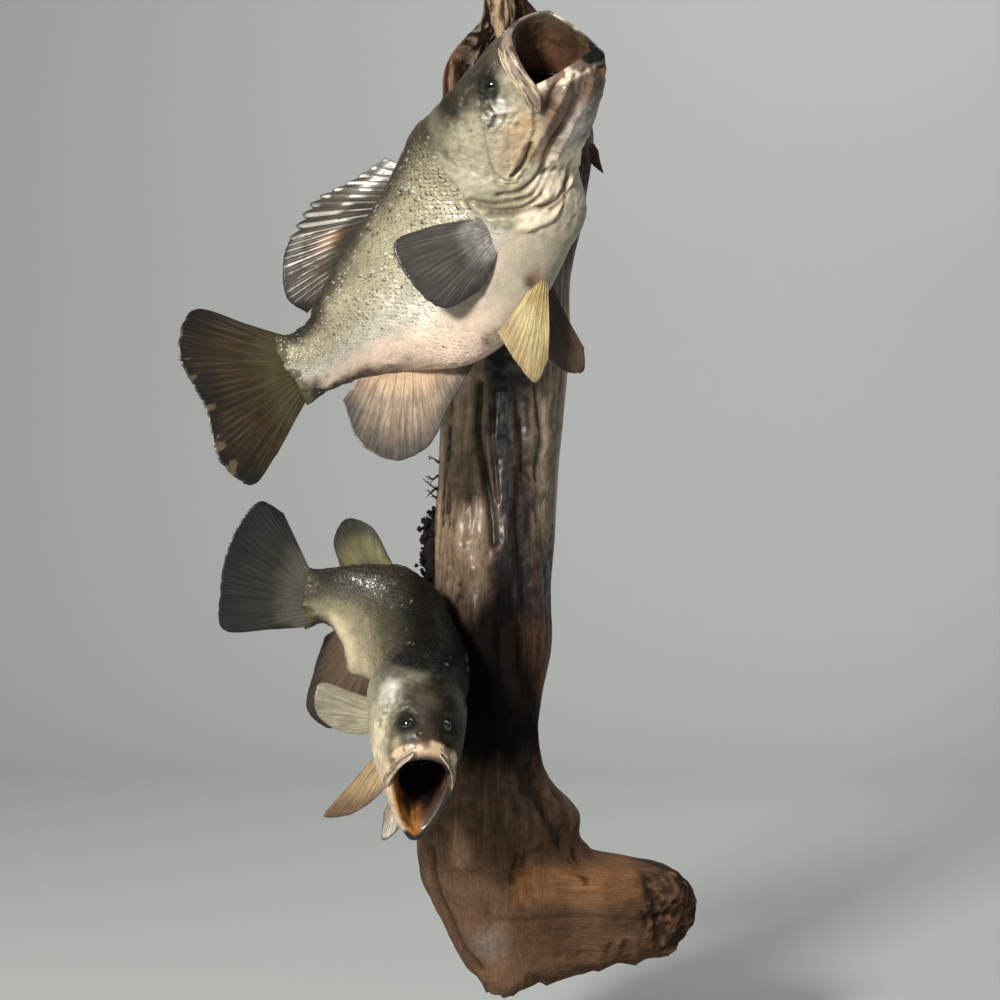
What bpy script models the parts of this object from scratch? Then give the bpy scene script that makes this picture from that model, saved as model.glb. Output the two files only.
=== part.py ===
"""Mounted trophy fish: two black bass on a piece of driftwood that hangs on a wall.

Numbers are in millimetres and the meshes in metres. +Z is up, the wall is the plane y = 0 and
both fish face -Y. The origin is the middle of the trunk's flat sawn back.
"""

import bpy
import bmesh
import math
import numpy as np
from types import SimpleNamespace

MM = 0.001
GAP = 0.3

# Mesh fineness: points round a body and the distance between its rings.
BIG_ROUND = 40
BIG_STEP = 10.0
SMALL_ROUND = 26
SMALL_STEP = 12.0
WOOD_LEVELS = 44
WOOD_FRONT = 24
WOOD_BACK = 4

# Where a driftwood slice is widest, as a share of how far it stands off the wall.
WOOD_WAIST = 0.42

# The big bass, 590 long. A spine row is the centre, the dorsal direction, the height above
# and below the centre, the half width and two superellipse powers, from the tail forward.
# A head row is its top (forward, up), side (forward on the right, up, half width, forward on
# the left) and bottom (forward, up), measured from the tip of the snout, and the powers. The
# gill and cheek rows are the free edges of those plates: height, and how far forward the edge
# lies there.
BIG = SimpleNamespace(
    spine=[
        ((-189, -197, 115), (-0.47, -0.05, 0.88), 35, 35, 2.0, (2.0, 2.0)),
        ((-178, -189, 121), (-0.49, -0.03, 0.87), 31, 32, 7.0, (2.0, 2.0)),
        ((-161, -176, 131), (-0.58, 0.03, 0.81), 31, 32, 13, (2.0, 2.0)),
        ((-137, -153, 151), (-0.70, 0.17, 0.69), 46, 49, 22, (2.0, 2.0)),
        ((-88, -130, 190), (-0.70, 0.34, 0.63), 76, 97, 36, (2.0, 2.1)),
        ((-42, -123, 242), (-0.74, 0.36, 0.57), 89, 106, 44, (2.0, 2.1)),
        ((-17, -130, 280), (-0.82, 0.23, 0.53), 89, 97, 46, (2.0, 2.1)),
        ((-5, -150, 306), (-0.86, 0.03, 0.51), 82, 94, 43, (1.9, 2.0)),
    ],
    head=((5, -237, 408), (0.18, -0.68, 0.71), (-0.979, -0.055, 0.195)),
    rings=[
        ((-104, 55), (-108, -14, 45, -108), (-114, -88), (1.8, 2.0)),
        ((-84, 45), (-85, -18, 44, -84), (-90, -88), (1.8, 2.0)),
        ((-60, 32), (-64, -23, 43, -58), (-62, -92), (1.8, 2.0)),
        ((-36, 19), (-45, -29, 42, -30), (-36, -94), (1.9, 1.8)),
        ((-13, 5), (-31, -33, 41.5, -7), (-12, -90), (2.0, 1.5)),
        ((0, -1), (-23, -34, 40, 8), (4, -82), (1.8, 1.25)),
    ],
    mouth=[
        ((1, -4), (-22, -34, 38, 8), (5, -79), (1.8, 1.25)),
        ((-4, -8), (-26, -35, 35, 1), (-2, -76), (1.9, 1.4)),
        ((-28, -13), (-42, -38, 31, -26), (-28, -78), (2.0, 1.8)),
        ((-62, -18), (-66, -40, 24, -62), (-62, -72), (2.0, 2.0)),
        ((-92, -30), (-92, -44, 14, -92), (-92, -60), (2.0, 2.0)),
    ],
    gill=[(-95, -104), (-90, -112), (-77, -143), (-53, -156),
          (-15, -157), (-1, -150), (14, -139), (30, -131)],
    cheek=[(-46, -84), (-42, -100), (-36, -119), (-25, -121), (-8, -104), (8, -68)],
    maxilla=[((-2, -5, 14), 4), ((-7, -13, 28), 5), ((-19, -25, 38), 6),
             ((-33, -37, 43), 7), ((-45, -45, 45), 5)],
    plate=3.0,
    eye=(-40, 1, 24),
    eye_radius=10.5,
    nostrils=[(-19, 9, 12), (-26, 13, 14)],
)

# The small bass, about 400 long, bent a quarter turn, with the same kinds of rows.
SMALL = SimpleNamespace(
    spine=[
        ((-184, -110, -92), (0.00, -0.12, 0.99), 30, 30, 2.0, (2.0, 2.0)),
        ((-174, -106, -91), (0.00, -0.15, 0.99), 27, 27, 6.0, (2.0, 2.0)),
        ((-160, -100, -90), (0.02, -0.18, 0.98), 27, 28, 10, (2.0, 2.0)),
        ((-140, -95, -93), (0.05, -0.24, 0.97), 34, 47, 17, (2.0, 2.0)),
        ((-114, -92, -101), (0.10, -0.30, 0.94), 46, 76, 27, (2.0, 2.1)),
        ((-92, -100, -118), (0.20, -0.38, 0.90), 53, 73, 33, (2.0, 2.1)),
        ((-78, -122, -140), (0.24, -0.45, 0.86), 52, 62, 36, (2.0, 2.1)),
        ((-70, -154, -168), (0.22, -0.50, 0.84), 54, 54, 43, (1.9, 2.1)),
    ],
    head=((-61, -273, -210), (0.12, -0.857, -0.515), (0.17, -0.51, 0.84)),
    rings=[
        ((-96, 31), (-98, -14, 43, -98), (-92, -74), (1.8, 2.1)),
        ((-72, 27), (-72, -18, 42, -72), (-64, -80), (1.8, 2.0)),
        ((-46, 18), (-46, -22, 39, -46), (-36, -87), (1.9, 2.0)),
        ((-24, 8), (-26, -28, 34, -26), (-8, -91), (2.0, 1.8)),
        ((-9, 1), (-16, -33, 31, -16), (9, -93), (2.1, 1.7)),
        ((1, -5), (-10, -36, 28, -10), (15, -88), (2.0, 1.6)),
    ],
    mouth=[
        ((2, -12), (-8, -36, 25, -8), (16, -85), (1.8, 1.6)),
        ((-3, -16), (-13, -38, 22.5, -13), (10, -81), (1.8, 1.6)),
        ((-20, -17), (-28, -39, 20, -28), (-10, -77), (1.9, 1.8)),
        ((-42, -19), (-44, -40, 16, -44), (-38, -66), (2.0, 2.0)),
        ((-62, -28), (-62, -41, 9, -62), (-60, -54), (2.0, 2.0)),
    ],
    gill=[(-84, -70), (-70, -96), (-50, -108), (-16, -112), (4, -104), (16, -98)],
    cheek=[(-38, -56), (-32, -72), (-22, -80), (-8, -72), (4, -50)],
    maxilla=[((0, -8, 11), 3.5), ((1, -16, 20), 4), ((-3, -32, 27), 4.5),
             ((-8, -47, 29.5), 5), ((-13, -60, 28.5), 3.5)],
    plate=2.2,
    eye=(-27, 1, 18.5),
    eye_radius=7.5,
    nostrils=[(-12, 4, 8), (-17, 7, 9)],
)

# A fin is the line of its root, the line of its margin, its number of rays, how far the web
# is cut back between two rays, and how far the sheet bellies out.
BIG_FINS = {
    "bass_spiny_dorsal_fin": dict(
        root=[(-104, -87, 320), (-117, -85, 302), (-127, -87, 286), (-135, -91, 269)],
        edge=[(-109, -84, 326), (-140, -78, 308), (-181, -70, 287), (-199, -88, 252)],
        rays=10, notch=0.08, belly=0, sunk=16),
    "bass_soft_dorsal_fin": dict(
        root=[(-139, -96, 260), (-146, -103, 240), (-151, -112, 219), (-155, -122, 205)],
        edge=[(-201, -91, 246), (-204, -104, 228), (-200, -120, 190), (-178, -143, 172)],
        rays=11, notch=0.02, belly=0, sunk=16),
    "bass_anal_fin": dict(
        root=[(-39, -135, 124), (-64, -146, 119), (-91, -157, 114), (-118, -163, 115)],
        edge=[(-24, -134, 126), (-45, -162, 88), (-70, -194, 43), (-93, -205, 34),
              (-120, -207, 46), (-141, -190, 90)],
        rays=12, notch=0.015, belly=0, sunk=16),
    "bass_tail_fin": dict(
        root=[(-196, -191, 145), (-189, -197, 115), (-180, -199, 85)],
        edge=[(-222, -203, 156), (-272, -230, 165), (-280, -245, 132), (-256, -247, 80),
              (-239, -253, 28), (-218, -246, 12), (-196, -226, 40)],
        rays=16, notch=0.015, belly=0, sunk=9),
    "bass_pectoral_fin_right": dict(
        root=[(-16, -174, 252), (-11, -175, 240), (-6, -175, 226)],
        edge=[(-62, -188, 246), (-95, -202, 228), (-80, -206, 194), (-52, -202, 171), (-18, -188, 188)],
        rays=12, notch=0.01, belly=5, sunk=8),
    "bass_pectoral_fin_left": dict(
        root=[(6, -106, 236), (10, -106, 226), (14, -107, 214)],
        edge=[(-36, -100, 178), (-34, -103, 152), (-18, -106, 140), (0, -109, 148), (8, -110, 172)],
        rays=10, notch=0.01, belly=-2, sunk=8),
    "bass_pelvic_fin_right": dict(
        root=[(31, -172, 197), (36, -170, 195), (41, -165, 193)],
        edge=[(-3, -180, 151), (14, -186, 123), (32, -188, 105), (44, -182, 125)],
        rays=6, notch=0.03, belly=2, sunk=9),
    "bass_pelvic_fin_left": dict(
        root=[(33, -147, 200), (38, -143, 204), (43, -139, 208)],
        edge=[(47, -150, 129), (60, -150, 118), (76, -146, 117), (78, -140, 140)],
        rays=6, notch=0.03, belly=-2, sunk=12),
}
SMALL_FINS = {
    "tail": dict(
        root=[(-184, -113, -63), (-186, -111, -92), (-187, -109, -118)],
        edge=[(-201, -128, -12), (-220, -139, -1), (-243, -146, -26),
              (-258, -145, -85), (-258, -138, -118), (-211, -118, -121)],
        rays=13, notch=0.015, belly=0, sunk=8),
    "dorsal": dict(
        root=[(-140, -96, -70), (-125, -100, -66), (-104, -104, -66)],
        edge=[(-152, -96, -62), (-157, -100, -38), (-143, -109, -17), (-124, -112, -23), (-102, -107, -58)],
        rays=8, notch=0.02, belly=0, sunk=8),
    "anal": dict(
        root=[(-150, -88, -122), (-136, -80, -142), (-118, -76, -160)],
        edge=[(-168, -70, -131), (-180, -58, -165), (-186, -43, -210),
              (-170, -46, -222), (-130, -60, -196)],
        rays=8, notch=0.015, belly=0, sunk=14),
    "pectoral": dict(
        root=[(-114, -172, -184), (-115, -174, -195), (-115, -176, -207)],
        edge=[(-130, -176, -175), (-164, -184, -166), (-166, -188, -190),
              (-140, -188, -209), (-122, -184, -211)],
        rays=9, notch=0.01, belly=4, sunk=10),
    "pelvic_right": dict(
        root=[(-100, -146, -214), (-97, -150, -222), (-94, -154, -230)],
        edge=[(-134, -172, -260), (-152, -193, -281), (-136, -191, -280), (-111, -181, -266)],
        rays=5, notch=0.02, belly=2, sunk=10),
    "pelvic_left": dict(
        root=[(-84, -146, -226), (-80, -148, -232), (-76, -150, -236)],
        edge=[(-106, -172, -284), (-105, -178, -308), (-97, -178, -303), (-89, -172, -294)],
        rays=5, notch=0.02, belly=2, sunk=10),
}

# Driftwood slices from the top down: height, left and right side, and depth off the wall.
WOOD_SLICES = [
    (532, -12, 4, 24),
    (512, -17, 12, 36),
    (490, -16, 30, 44),
    (474, -19, 40, 48),
    (457, -34, 46, 50),
    (429, -53, 58, 56),
    (392, -57, 78, 64),
    (366, -57, 90, 80),
    (340, -56, 90, 96),
    (310, -56, 86, 104),
    (270, -56, 80, 106),
    (220, -56, 69, 104),
    (160, -57, 68, 98),
    (79, -58, 62, 94),
    (31, -60, 57, 98),
    (-26, -64, 54, 104),
    (-85, -63, 50, 114),
    (-140, -66, 50, 122),
    (-192, -66, 40, 124),
    (-236, -70, 37, 122),
    (-270, -74, 48, 120),
    (-302, -78, 76, 119),
    (-334, -80, 84, 118),
    (-346, -79, 104, 116),
    (-354, -78, 154, 114),
    (-368, -76, 180, 112),
    (-386, -68, 190, 108),
    (-406, -59, 190, 100),
    (-424, -50, 182, 94),
    (-440, -42, 166, 88),
    (-456, -33, 96, 82),
    (-468, -23, 42, 74),
    (-478, -14, 10, 58),
]

# Dry roots on the trunk's left edge: one strand down the wood, then its branches. Each has
# its start, its end and its radius.
ROOTS = [
    ((-67, -44, -8), (-64, -44, -84), 4.5),
    ((-66, -46, -16), (-88, -58, -6), 3.0),
    ((-66, -46, -32), (-86, -64, -26), 3.2),
    ((-66, -46, -44), (-84, -60, -50), 3.2),
    ((-66, -44, -58), (-82, -54, -70), 2.8),
    ((-65, -44, -72), (-74, -56, -88), 2.6),
]


def unit(vector):
    vector = np.asarray(vector, float)
    return vector / np.linalg.norm(vector)


def axes(origin, forward, dorsal):
    """Origin and right-handed axes: forward, dorsal and the animal's right side."""
    forward = unit(forward)
    dorsal = np.asarray(dorsal, float)
    dorsal = unit(dorsal - forward * np.dot(dorsal, forward))
    return np.asarray(origin, float), forward, dorsal, np.cross(forward, dorsal)


def place(frame, point):
    origin, forward, dorsal, right = frame
    return origin + forward * point[0] + dorsal * point[1] + right * point[2]


def spline(points, knots, where):
    """A smooth curve through the points (rows of any shape) at the knots."""
    points = np.asarray(points, float)
    knots = np.asarray(knots, float)
    where = np.atleast_1d(np.asarray(where, float))
    slopes = np.gradient(points, knots, axis=0)
    i = np.clip(np.searchsorted(knots, where, side="right") - 1, 0, len(knots) - 2)
    shape = (-1,) + (1,) * (points.ndim - 1)
    step = (knots[i + 1] - knots[i]).reshape(shape)
    u = (where - knots[i]).reshape(shape) / step
    start = (2 * u**3 - 3 * u**2 + 1) * points[i] + (u**3 - 2 * u**2 + u) * step * slopes[i]
    end = (3 * u**2 - 2 * u**3) * points[i + 1] + (u**3 - u**2) * step * slopes[i + 1]
    return start + end


def along(points, count):
    """The given number of points, evenly spread on a smooth curve through the rows."""
    points = np.asarray(points, float)
    knots = np.concatenate([[0], np.cumsum(np.linalg.norm(np.diff(points, axis=0), axis=1))])
    return spline(points, knots, np.linspace(0, knots[-1], count))


def ring(frame, top, side, bottom, powers, count):
    """A closed outline of two superellipse halves, from the top round the right side."""
    origin, forward, dorsal, right = frame
    angle = np.linspace(0, 2 * math.pi, count, endpoint=False)
    cosine = np.cos(angle)
    sine = np.sin(angle)
    upper = cosine >= 0
    power = np.where(upper, 2 / powers[0], 2 / powers[1])
    reach = np.abs(cosine) ** power
    across = side[2] * np.sign(sine) * np.abs(sine) ** power
    middle = np.where(sine < 0, side[3], side[0])
    ahead = middle + (np.where(upper, top[0], bottom[0]) - middle) * reach
    up = side[1] + (np.where(upper, top[1], bottom[1]) - side[1]) * reach
    return origin + np.outer(ahead, forward) + np.outer(up, dorsal) + np.outer(across, right)


def spine_frames(fish):
    centres = np.array([row[0] for row in fish.spine], float)
    lengths = np.linalg.norm(np.diff(centres, axis=0), axis=1)
    knots = np.concatenate([[0], np.cumsum(lengths)])
    tangents = np.gradient(centres, knots, axis=0)
    return [axes(centre, tangent, row[1]) for centre, tangent, row in zip(centres, tangents, fish.spine)]


def sweep(key_rings, step):
    """Rings about one step apart on smooth curves through the key rings."""
    key_rings = np.asarray(key_rings)
    moves = np.linalg.norm(np.diff(key_rings, axis=0), axis=2).mean(axis=1)
    knots = np.concatenate([[0], np.cumsum(moves)])
    return spline(key_rings, knots, np.linspace(0, knots[-1], max(2, round(knots[-1] / step))))


def outward(rings):
    """Unit normals of a tube of rings, pointing out of the closed body."""
    ahead = np.gradient(rings, axis=0)
    around = np.roll(rings, -1, axis=1) - np.roll(rings, 1, axis=1)
    normal = np.cross(around, ahead)
    return normal / np.maximum(np.linalg.norm(normal, axis=2, keepdims=True), 1e-9)


def raised(table, ahead, up, height):
    """A plate in front of its free edge, high at the edge and fading forward."""
    levels = [row[0] for row in table]
    edge = np.interp(up, levels, [row[1] for row in table])
    inside = ahead - edge
    lift = np.where(inside > 0, height * np.exp(-inside / 35), -0.3 * height * np.exp(inside / 6))
    return lift * np.clip((levels[-1] + 3 - up) / 6, 0, 1)


def fish_rings(fish, count, step):
    """The skin from the tail to the lips, with its plates, then the inside of the mouth."""
    keys = []
    for frame, row in zip(spine_frames(fish), fish.spine):
        above, below, width, powers = row[2:]
        keys.append(ring(frame, (0, above), (0, 0, width, 0), (0, -below), powers, count))
    head = axes(*fish.head)
    outer = sweep(keys + [ring(head, *row, count) for row in fish.rings], step)
    offset = outer - head[0]
    ahead = offset @ head[1]
    up = offset @ head[2]
    lift = raised(fish.gill, ahead, up, fish.plate) + raised(fish.cheek, ahead, up, fish.plate / 2)
    at_rim = np.linspace(1, 0, 4)
    lift[-4:] *= at_rim[:, None]
    outer = outer + outward(outer) * lift[:, :, None]
    inner = sweep([ring(head, *row, count) for row in fish.rings[-1:] + fish.mouth], step * 0.9)
    return np.concatenate([outer, inner[1:]])


def swollen(rings):
    """The same body grown by the gap that touching parts keep."""
    grown = rings + outward(rings) * GAP
    grown[0] += unit(rings[0].mean(axis=0) - rings[1].mean(axis=0)) * GAP
    return grown


def new_object(name, vertices, faces, surface, collection):
    mesh = bpy.data.meshes.new(name)
    mesh.from_pydata([tuple(v * MM) for v in np.asarray(vertices)], [], faces)
    edit = bmesh.new()
    edit.from_mesh(mesh)
    bmesh.ops.recalc_face_normals(edit, faces=edit.faces)
    edit.to_mesh(mesh)
    edit.free()
    mesh.materials.append(surface)
    obj = bpy.data.objects.new(name, mesh)
    collection.objects.link(obj)
    return obj


def tube(name, rings, surface, collection):
    """A closed body of rings, with a fan of triangles to a middle point at each end."""
    rows, count = rings.shape[:2]
    faces = []
    for i in range(rows - 1):
        for j in range(count):
            k = (j + 1) % count
            a, b = i * count + j, i * count + k
            faces += [(a, b, b + count), (a, b + count, a + count)]
    first = rows * count
    for j in range(count):
        k = (j + 1) % count
        faces.append((k, j, first))
        faces.append((first - count + j, first - count + k, first + 1))
    middles = np.array([rings[0].mean(axis=0), rings[-1].mean(axis=0)])
    return new_object(name, np.concatenate([rings.reshape(-1, 3), middles]), faces, surface, collection)


def strip(name, frame, rows, side, surface, collection):
    """The flat bone along one side of the upper jaw."""
    middles = along([row[0] for row in rows], 9) * (1, 1, side)
    widths = np.interp(np.linspace(0, 1, 9), np.linspace(0, 1, len(rows)), [row[1] for row in rows])
    thickness = 0.32 * widths.max()
    tangents = np.gradient(middles, axis=0)
    rings = []
    for middle, tangent, width in zip(middles, tangents, widths):
        tangent = unit(tangent)
        face = np.array([0.35, 0.0, side])
        face = unit(face - tangent * np.dot(face, tangent))
        across = np.cross(tangent, face)
        outline = []
        for angle in np.linspace(0, 2 * math.pi, 8, endpoint=False):
            point = middle + across * width * math.cos(angle) + face * thickness * math.sin(angle)
            outline.append(place(frame, point))
        rings.append(outline)
    return tube(name, np.array(rings), surface, collection)


def fin(name, shape, surface, collection, rows=6, ray=(2.6, 1.5), web=1.2):
    """A fin as one closed sheet, with its rays as ridges on both faces and its root sunk."""
    columns = 2 * shape["rays"] - 1
    root = along(shape["root"], columns)
    edge = along(shape["edge"], columns)
    is_ray = np.arange(columns) % 2 == 0
    reach = np.where(is_ray, 1.0, 1 - shape["notch"])[:, None]
    edge = root + (edge - root) * reach
    span = edge - root
    own = span / np.linalg.norm(span, axis=1, keepdims=True)
    inward = own + 3 * unit(own.sum(axis=0))
    root = root - inward / np.linalg.norm(inward, axis=1, keepdims=True) * shape["sunk"]
    share = np.linspace(0, 1, rows)
    grid = root[:, None] + (edge - root)[:, None] * share[None, :, None]
    middle = columns // 2
    facing = unit(np.cross(edge[middle] - root[middle], root[-1] - root[0]))
    grid = grid + facing * (shape["belly"] * np.sin(math.pi * share))[None, :, None]
    normal = np.cross(np.gradient(grid, axis=0), np.gradient(grid, axis=1))
    normal /= np.linalg.norm(normal, axis=2, keepdims=True)
    depth = np.where(is_ray[:, None], ray[0] + (ray[1] - ray[0]) * share[None, :], web)
    half = normal * depth[:, :, None] / 2
    vertices = np.concatenate([(grid + half).reshape(-1, 3), (grid - half).reshape(-1, 3)])
    back = columns * rows
    faces = []
    for i in range(columns - 1):
        for j in range(rows - 1):
            a = i * rows + j
            b, c, d = a + rows, a + rows + 1, a + 1
            faces += [(a, b, c), (a, c, d), (back + a, back + c, back + b), (back + a, back + d, back + c)]
    loop = [i * rows for i in range(columns)]
    loop += [(columns - 1) * rows + j for j in range(1, rows)]
    loop += [i * rows + rows - 1 for i in range(columns - 2, -1, -1)]
    loop += list(range(rows - 2, 0, -1))
    for a, b in zip(loop, loop[1:] + loop[:1]):
        faces += [(b, a, back + a), (b, back + a, back + b)]
    return new_object(name, vertices, faces, surface, collection)


def ball(name, centre, radius, surface, collection, segments=16, ring_count=10):
    centre = tuple(np.asarray(centre) * MM)
    bpy.ops.mesh.primitive_uv_sphere_add(
        segments=segments, ring_count=ring_count, radius=radius * MM, location=centre)
    obj = bpy.context.active_object
    obj.name = name
    obj.data.materials.append(surface)
    for home in list(obj.users_collection):
        home.objects.unlink(obj)
    collection.objects.link(obj)
    return obj


def material(name, colour, roughness):
    surface = bpy.data.materials.new(name)
    surface.use_nodes = True
    shader = surface.node_tree.nodes["Principled BSDF"]
    shader.inputs["Base Color"].default_value = (*colour, 1.0)
    shader.inputs["Roughness"].default_value = roughness
    shader.inputs["Metallic"].default_value = 0.0
    return surface


def combine(obj, others, operation):
    """One Boolean on all the other objects, applied; the largest closed surface is kept."""
    group = bpy.data.collections.new(operation)
    for other in others:
        group.objects.link(other)
    boolean = obj.modifiers.new(operation, "BOOLEAN")
    boolean.operation = operation
    boolean.solver = "EXACT"
    boolean.operand_type = "COLLECTION"
    boolean.collection = group
    depsgraph = bpy.context.evaluated_depsgraph_get()
    mesh = bpy.data.meshes.new_from_object(obj.evaluated_get(depsgraph))
    obj.modifiers.clear()
    obj.data = largest(mesh)
    bpy.data.collections.remove(group)


def largest(mesh):
    edit = bmesh.new()
    edit.from_mesh(mesh)
    left = set(edit.faces)
    bodies = []
    while left:
        body = {left.pop()}
        front = list(body)
        while front:
            near = {face for edge in front.pop().edges for face in edge.link_faces} & left
            left -= near
            body |= near
            front += near
        bodies.append(body)
    bodies.sort(key=lambda body: sum(face.calc_area() for face in body))
    for body in bodies[:-1]:
        bmesh.ops.delete(edit, geom=list(body), context="FACES")
    bmesh.ops.triangulate(edit, faces=edit.faces)
    edit.to_mesh(mesh)
    edit.free()
    return mesh


def slab(name, frame, low, high, collection):
    """A wide box between two distances along a frame's forward axis."""
    reach = 500
    sides = (-reach, reach)
    corners = [place(frame, (x, y, z)) for x in (low, high) for y in sides for z in sides]
    faces = [(0, 1, 3, 2), (4, 6, 7, 5), (0, 4, 5, 1), (2, 3, 7, 6), (0, 2, 6, 4), (1, 5, 7, 3)]
    return new_object(name, corners, faces, bpy.data.materials["Bass skin"], collection)


def wood_rings():
    table = np.array(WOOD_SLICES, float)
    drop = table[0, 0] - table[:, 0]
    rows = spline(table, drop, np.linspace(0, drop[-1], WOOD_LEVELS))
    tilt = math.asin(WOOD_WAIST / (1 - WOOD_WAIST))
    angles = np.linspace(-tilt, math.pi + tilt, WOOD_FRONT)
    rings = []
    for height, left, right, depth in rows:
        x = (left + right) / 2 + (right - left) / 2 * np.cos(angles)
        y = -depth * (WOOD_WAIST + (1 - WOOD_WAIST) * np.sin(angles))
        flat = np.linspace(x[-1], x[0], WOOD_BACK + 1)[1:-1]
        x = np.concatenate([x, flat])
        y = np.concatenate([y, np.zeros(len(flat))])
        rings.append(np.stack([x, y, np.full(len(x), height)], axis=1))
    return np.array(rings)


def twig(name, start, end, radius, surface, collection):
    """A tapered, slightly bent round twig."""
    start = np.asarray(start, float)
    end = np.asarray(end, float)
    direction = unit(end - start)
    side = unit(np.cross(direction, (0, 1, 0)))
    other = np.cross(direction, side)
    rings = []
    for share in np.linspace(0, 1, 5):
        middle = start + (end - start) * share + side * 3 * math.sin(math.pi * share)
        size = radius * (1 - 0.7 * share)
        angles = np.linspace(0, 2 * math.pi, 6, endpoint=False)
        rings.append([middle + (side * math.cos(a) + other * math.sin(a)) * size for a in angles])
    return tube(name, np.array(rings), surface, collection)


def main():
    for obj in list(bpy.data.objects):
        bpy.data.objects.remove(obj, do_unlink=True)
    parts = bpy.data.collections.new("Mounted trophy fish")
    cutters = bpy.data.collections.new("Cutters")
    bpy.context.scene.collection.children.link(parts)
    bpy.context.scene.collection.children.link(cutters)

    skin = material("Bass skin", (0.42, 0.42, 0.33), 0.35)
    membrane = material("Fin membrane", (0.30, 0.27, 0.20), 0.4)
    glass = material("Eye glass", (0.03, 0.03, 0.03), 0.05)
    timber = material("Driftwood", (0.16, 0.09, 0.05), 0.35)
    root = material("Dry root", (0.03, 0.025, 0.02), 0.8)

    # The big bass is modelled whole, then parted behind the gill cover and before the tail stalk.
    rings = fish_rings(BIG, BIG_ROUND, BIG_STEP)
    head_frame = axes(*BIG.head)
    whole = tube("bass_head", rings, skin, parts)
    bones = [strip(f"bone_{side}", head_frame, BIG.maxilla, side, skin, cutters) for side in (1, -1)]
    combine(whole, bones, "UNION")
    sockets = []
    for side in (1, -1):
        x, y, z = BIG.eye
        centre = place(head_frame, (x, y, z * side))
        sockets.append(ball(f"socket_{side}", centre, BIG.eye_radius + GAP, skin, cutters))
        ball("bass_eye_" + ("right" if side > 0 else "left"), centre, BIG.eye_radius, glass, parts)
        for x, y, z in BIG.nostrils:
            centre = place(head_frame, (x, y, z * side))
            sockets.append(ball(f"nostril_{x}_{side}", centre, 2.2, skin, cutters, 8, 6))
    combine(whole, sockets, "DIFFERENCE")

    frames = spine_frames(BIG)
    neck = frames[6]
    stalk = frames[3]
    torso = whole.copy()
    torso.data = whole.data.copy()
    torso.name = "bass_torso"
    parts.objects.link(torso)
    tail = whole.copy()
    tail.data = whole.data.copy()
    tail.name = "bass_tail_stalk"
    parts.objects.link(tail)
    combine(whole, [slab("before_neck", neck, GAP / 2, 600, cutters)], "INTERSECT")
    combine(torso, [slab("behind_neck", neck, -600, -GAP / 2, cutters)], "INTERSECT")
    combine(torso, [slab("before_stalk", stalk, GAP / 2, 600, cutters)], "INTERSECT")
    combine(tail, [slab("behind_stalk", stalk, -600, -GAP / 2, cutters)], "INTERSECT")

    grown = tube("big_grown", swollen(rings), skin, cutters)
    for name, shape in BIG_FINS.items():
        combine(fin(name, shape, membrane, parts), [grown], "DIFFERENCE")

    # The small bass is one solid, fins, eyes and all.
    rings = fish_rings(SMALL, SMALL_ROUND, SMALL_STEP)
    head_frame = axes(*SMALL.head)
    small = tube("small_bass", rings, skin, parts)
    pieces = []
    for side in (1, -1):
        pieces.append(strip(f"small_bone_{side}", head_frame, SMALL.maxilla, side, skin, cutters))
        x, y, z = SMALL.eye
        centre = place(head_frame, (x, y, z * side))
        pieces.append(ball(f"small_eye_{side}", centre, SMALL.eye_radius, glass, cutters, 12, 6))
    for name, shape in SMALL_FINS.items():
        pieces.append(fin("small_" + name, shape, membrane, cutters, rows=4))
    combine(small, pieces, "UNION")
    small_grown = tube("small_grown", swollen(rings), skin, cutters)

    slices = wood_rings()
    driftwood = tube("driftwood", slices, timber, parts)
    combine(driftwood, [grown, small_grown], "DIFFERENCE")
    strands = [twig(f"strand_{i}", *row, root, cutters) for i, row in enumerate(ROOTS[1:])]
    tuft = twig("root_tuft", *ROOTS[0], root, parts)
    combine(tuft, strands, "UNION")
    combine(tuft, [tube("wood_grown", swollen(slices), timber, cutters)], "DIFFERENCE")

    for cutter in list(cutters.objects):
        bpy.data.objects.remove(cutter, do_unlink=True)


main()
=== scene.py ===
"""Mounted trophy fish: the looks of two varnished black bass on a piece of driftwood.

The larger fish curves up from the upper trunk with its mouth open, the smaller one bends out
below it. Numbers are in millimetres and the meshes in metres. +Z is up, the wall is the plane
y = 0 and both fish face -Y. Skins and wood are lofts with carved relief, because no primitive
gives those forms; the eyes, the floor and the lamps start as primitives.
"""

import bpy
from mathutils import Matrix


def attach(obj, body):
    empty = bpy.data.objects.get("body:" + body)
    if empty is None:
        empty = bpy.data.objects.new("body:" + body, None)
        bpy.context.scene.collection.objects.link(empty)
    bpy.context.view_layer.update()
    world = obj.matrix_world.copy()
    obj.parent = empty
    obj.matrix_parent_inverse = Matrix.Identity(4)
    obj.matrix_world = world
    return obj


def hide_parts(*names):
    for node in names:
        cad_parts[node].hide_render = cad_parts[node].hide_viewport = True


bl_info = {
    "name": "Mounted Trophy Fish",
    "version": (1, 0, 0),
    "blender": (4, 5, 0),
    "location": "3D Viewport > Sidebar > Trophy",
    "description": "Skin, scales, fins and driftwood of two mounted black bass",
    "category": "Add Mesh",
}

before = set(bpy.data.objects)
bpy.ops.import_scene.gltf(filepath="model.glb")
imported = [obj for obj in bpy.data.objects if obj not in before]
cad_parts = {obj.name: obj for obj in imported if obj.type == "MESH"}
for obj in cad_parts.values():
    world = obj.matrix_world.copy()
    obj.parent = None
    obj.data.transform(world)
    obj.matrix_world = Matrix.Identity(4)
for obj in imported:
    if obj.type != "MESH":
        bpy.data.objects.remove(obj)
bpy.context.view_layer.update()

import itertools
import math
from types import SimpleNamespace

import bmesh
import bpy
import numpy as np
from bpy.props import FloatProperty, FloatVectorProperty, IntProperty, PointerProperty

MM = 0.001

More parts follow.
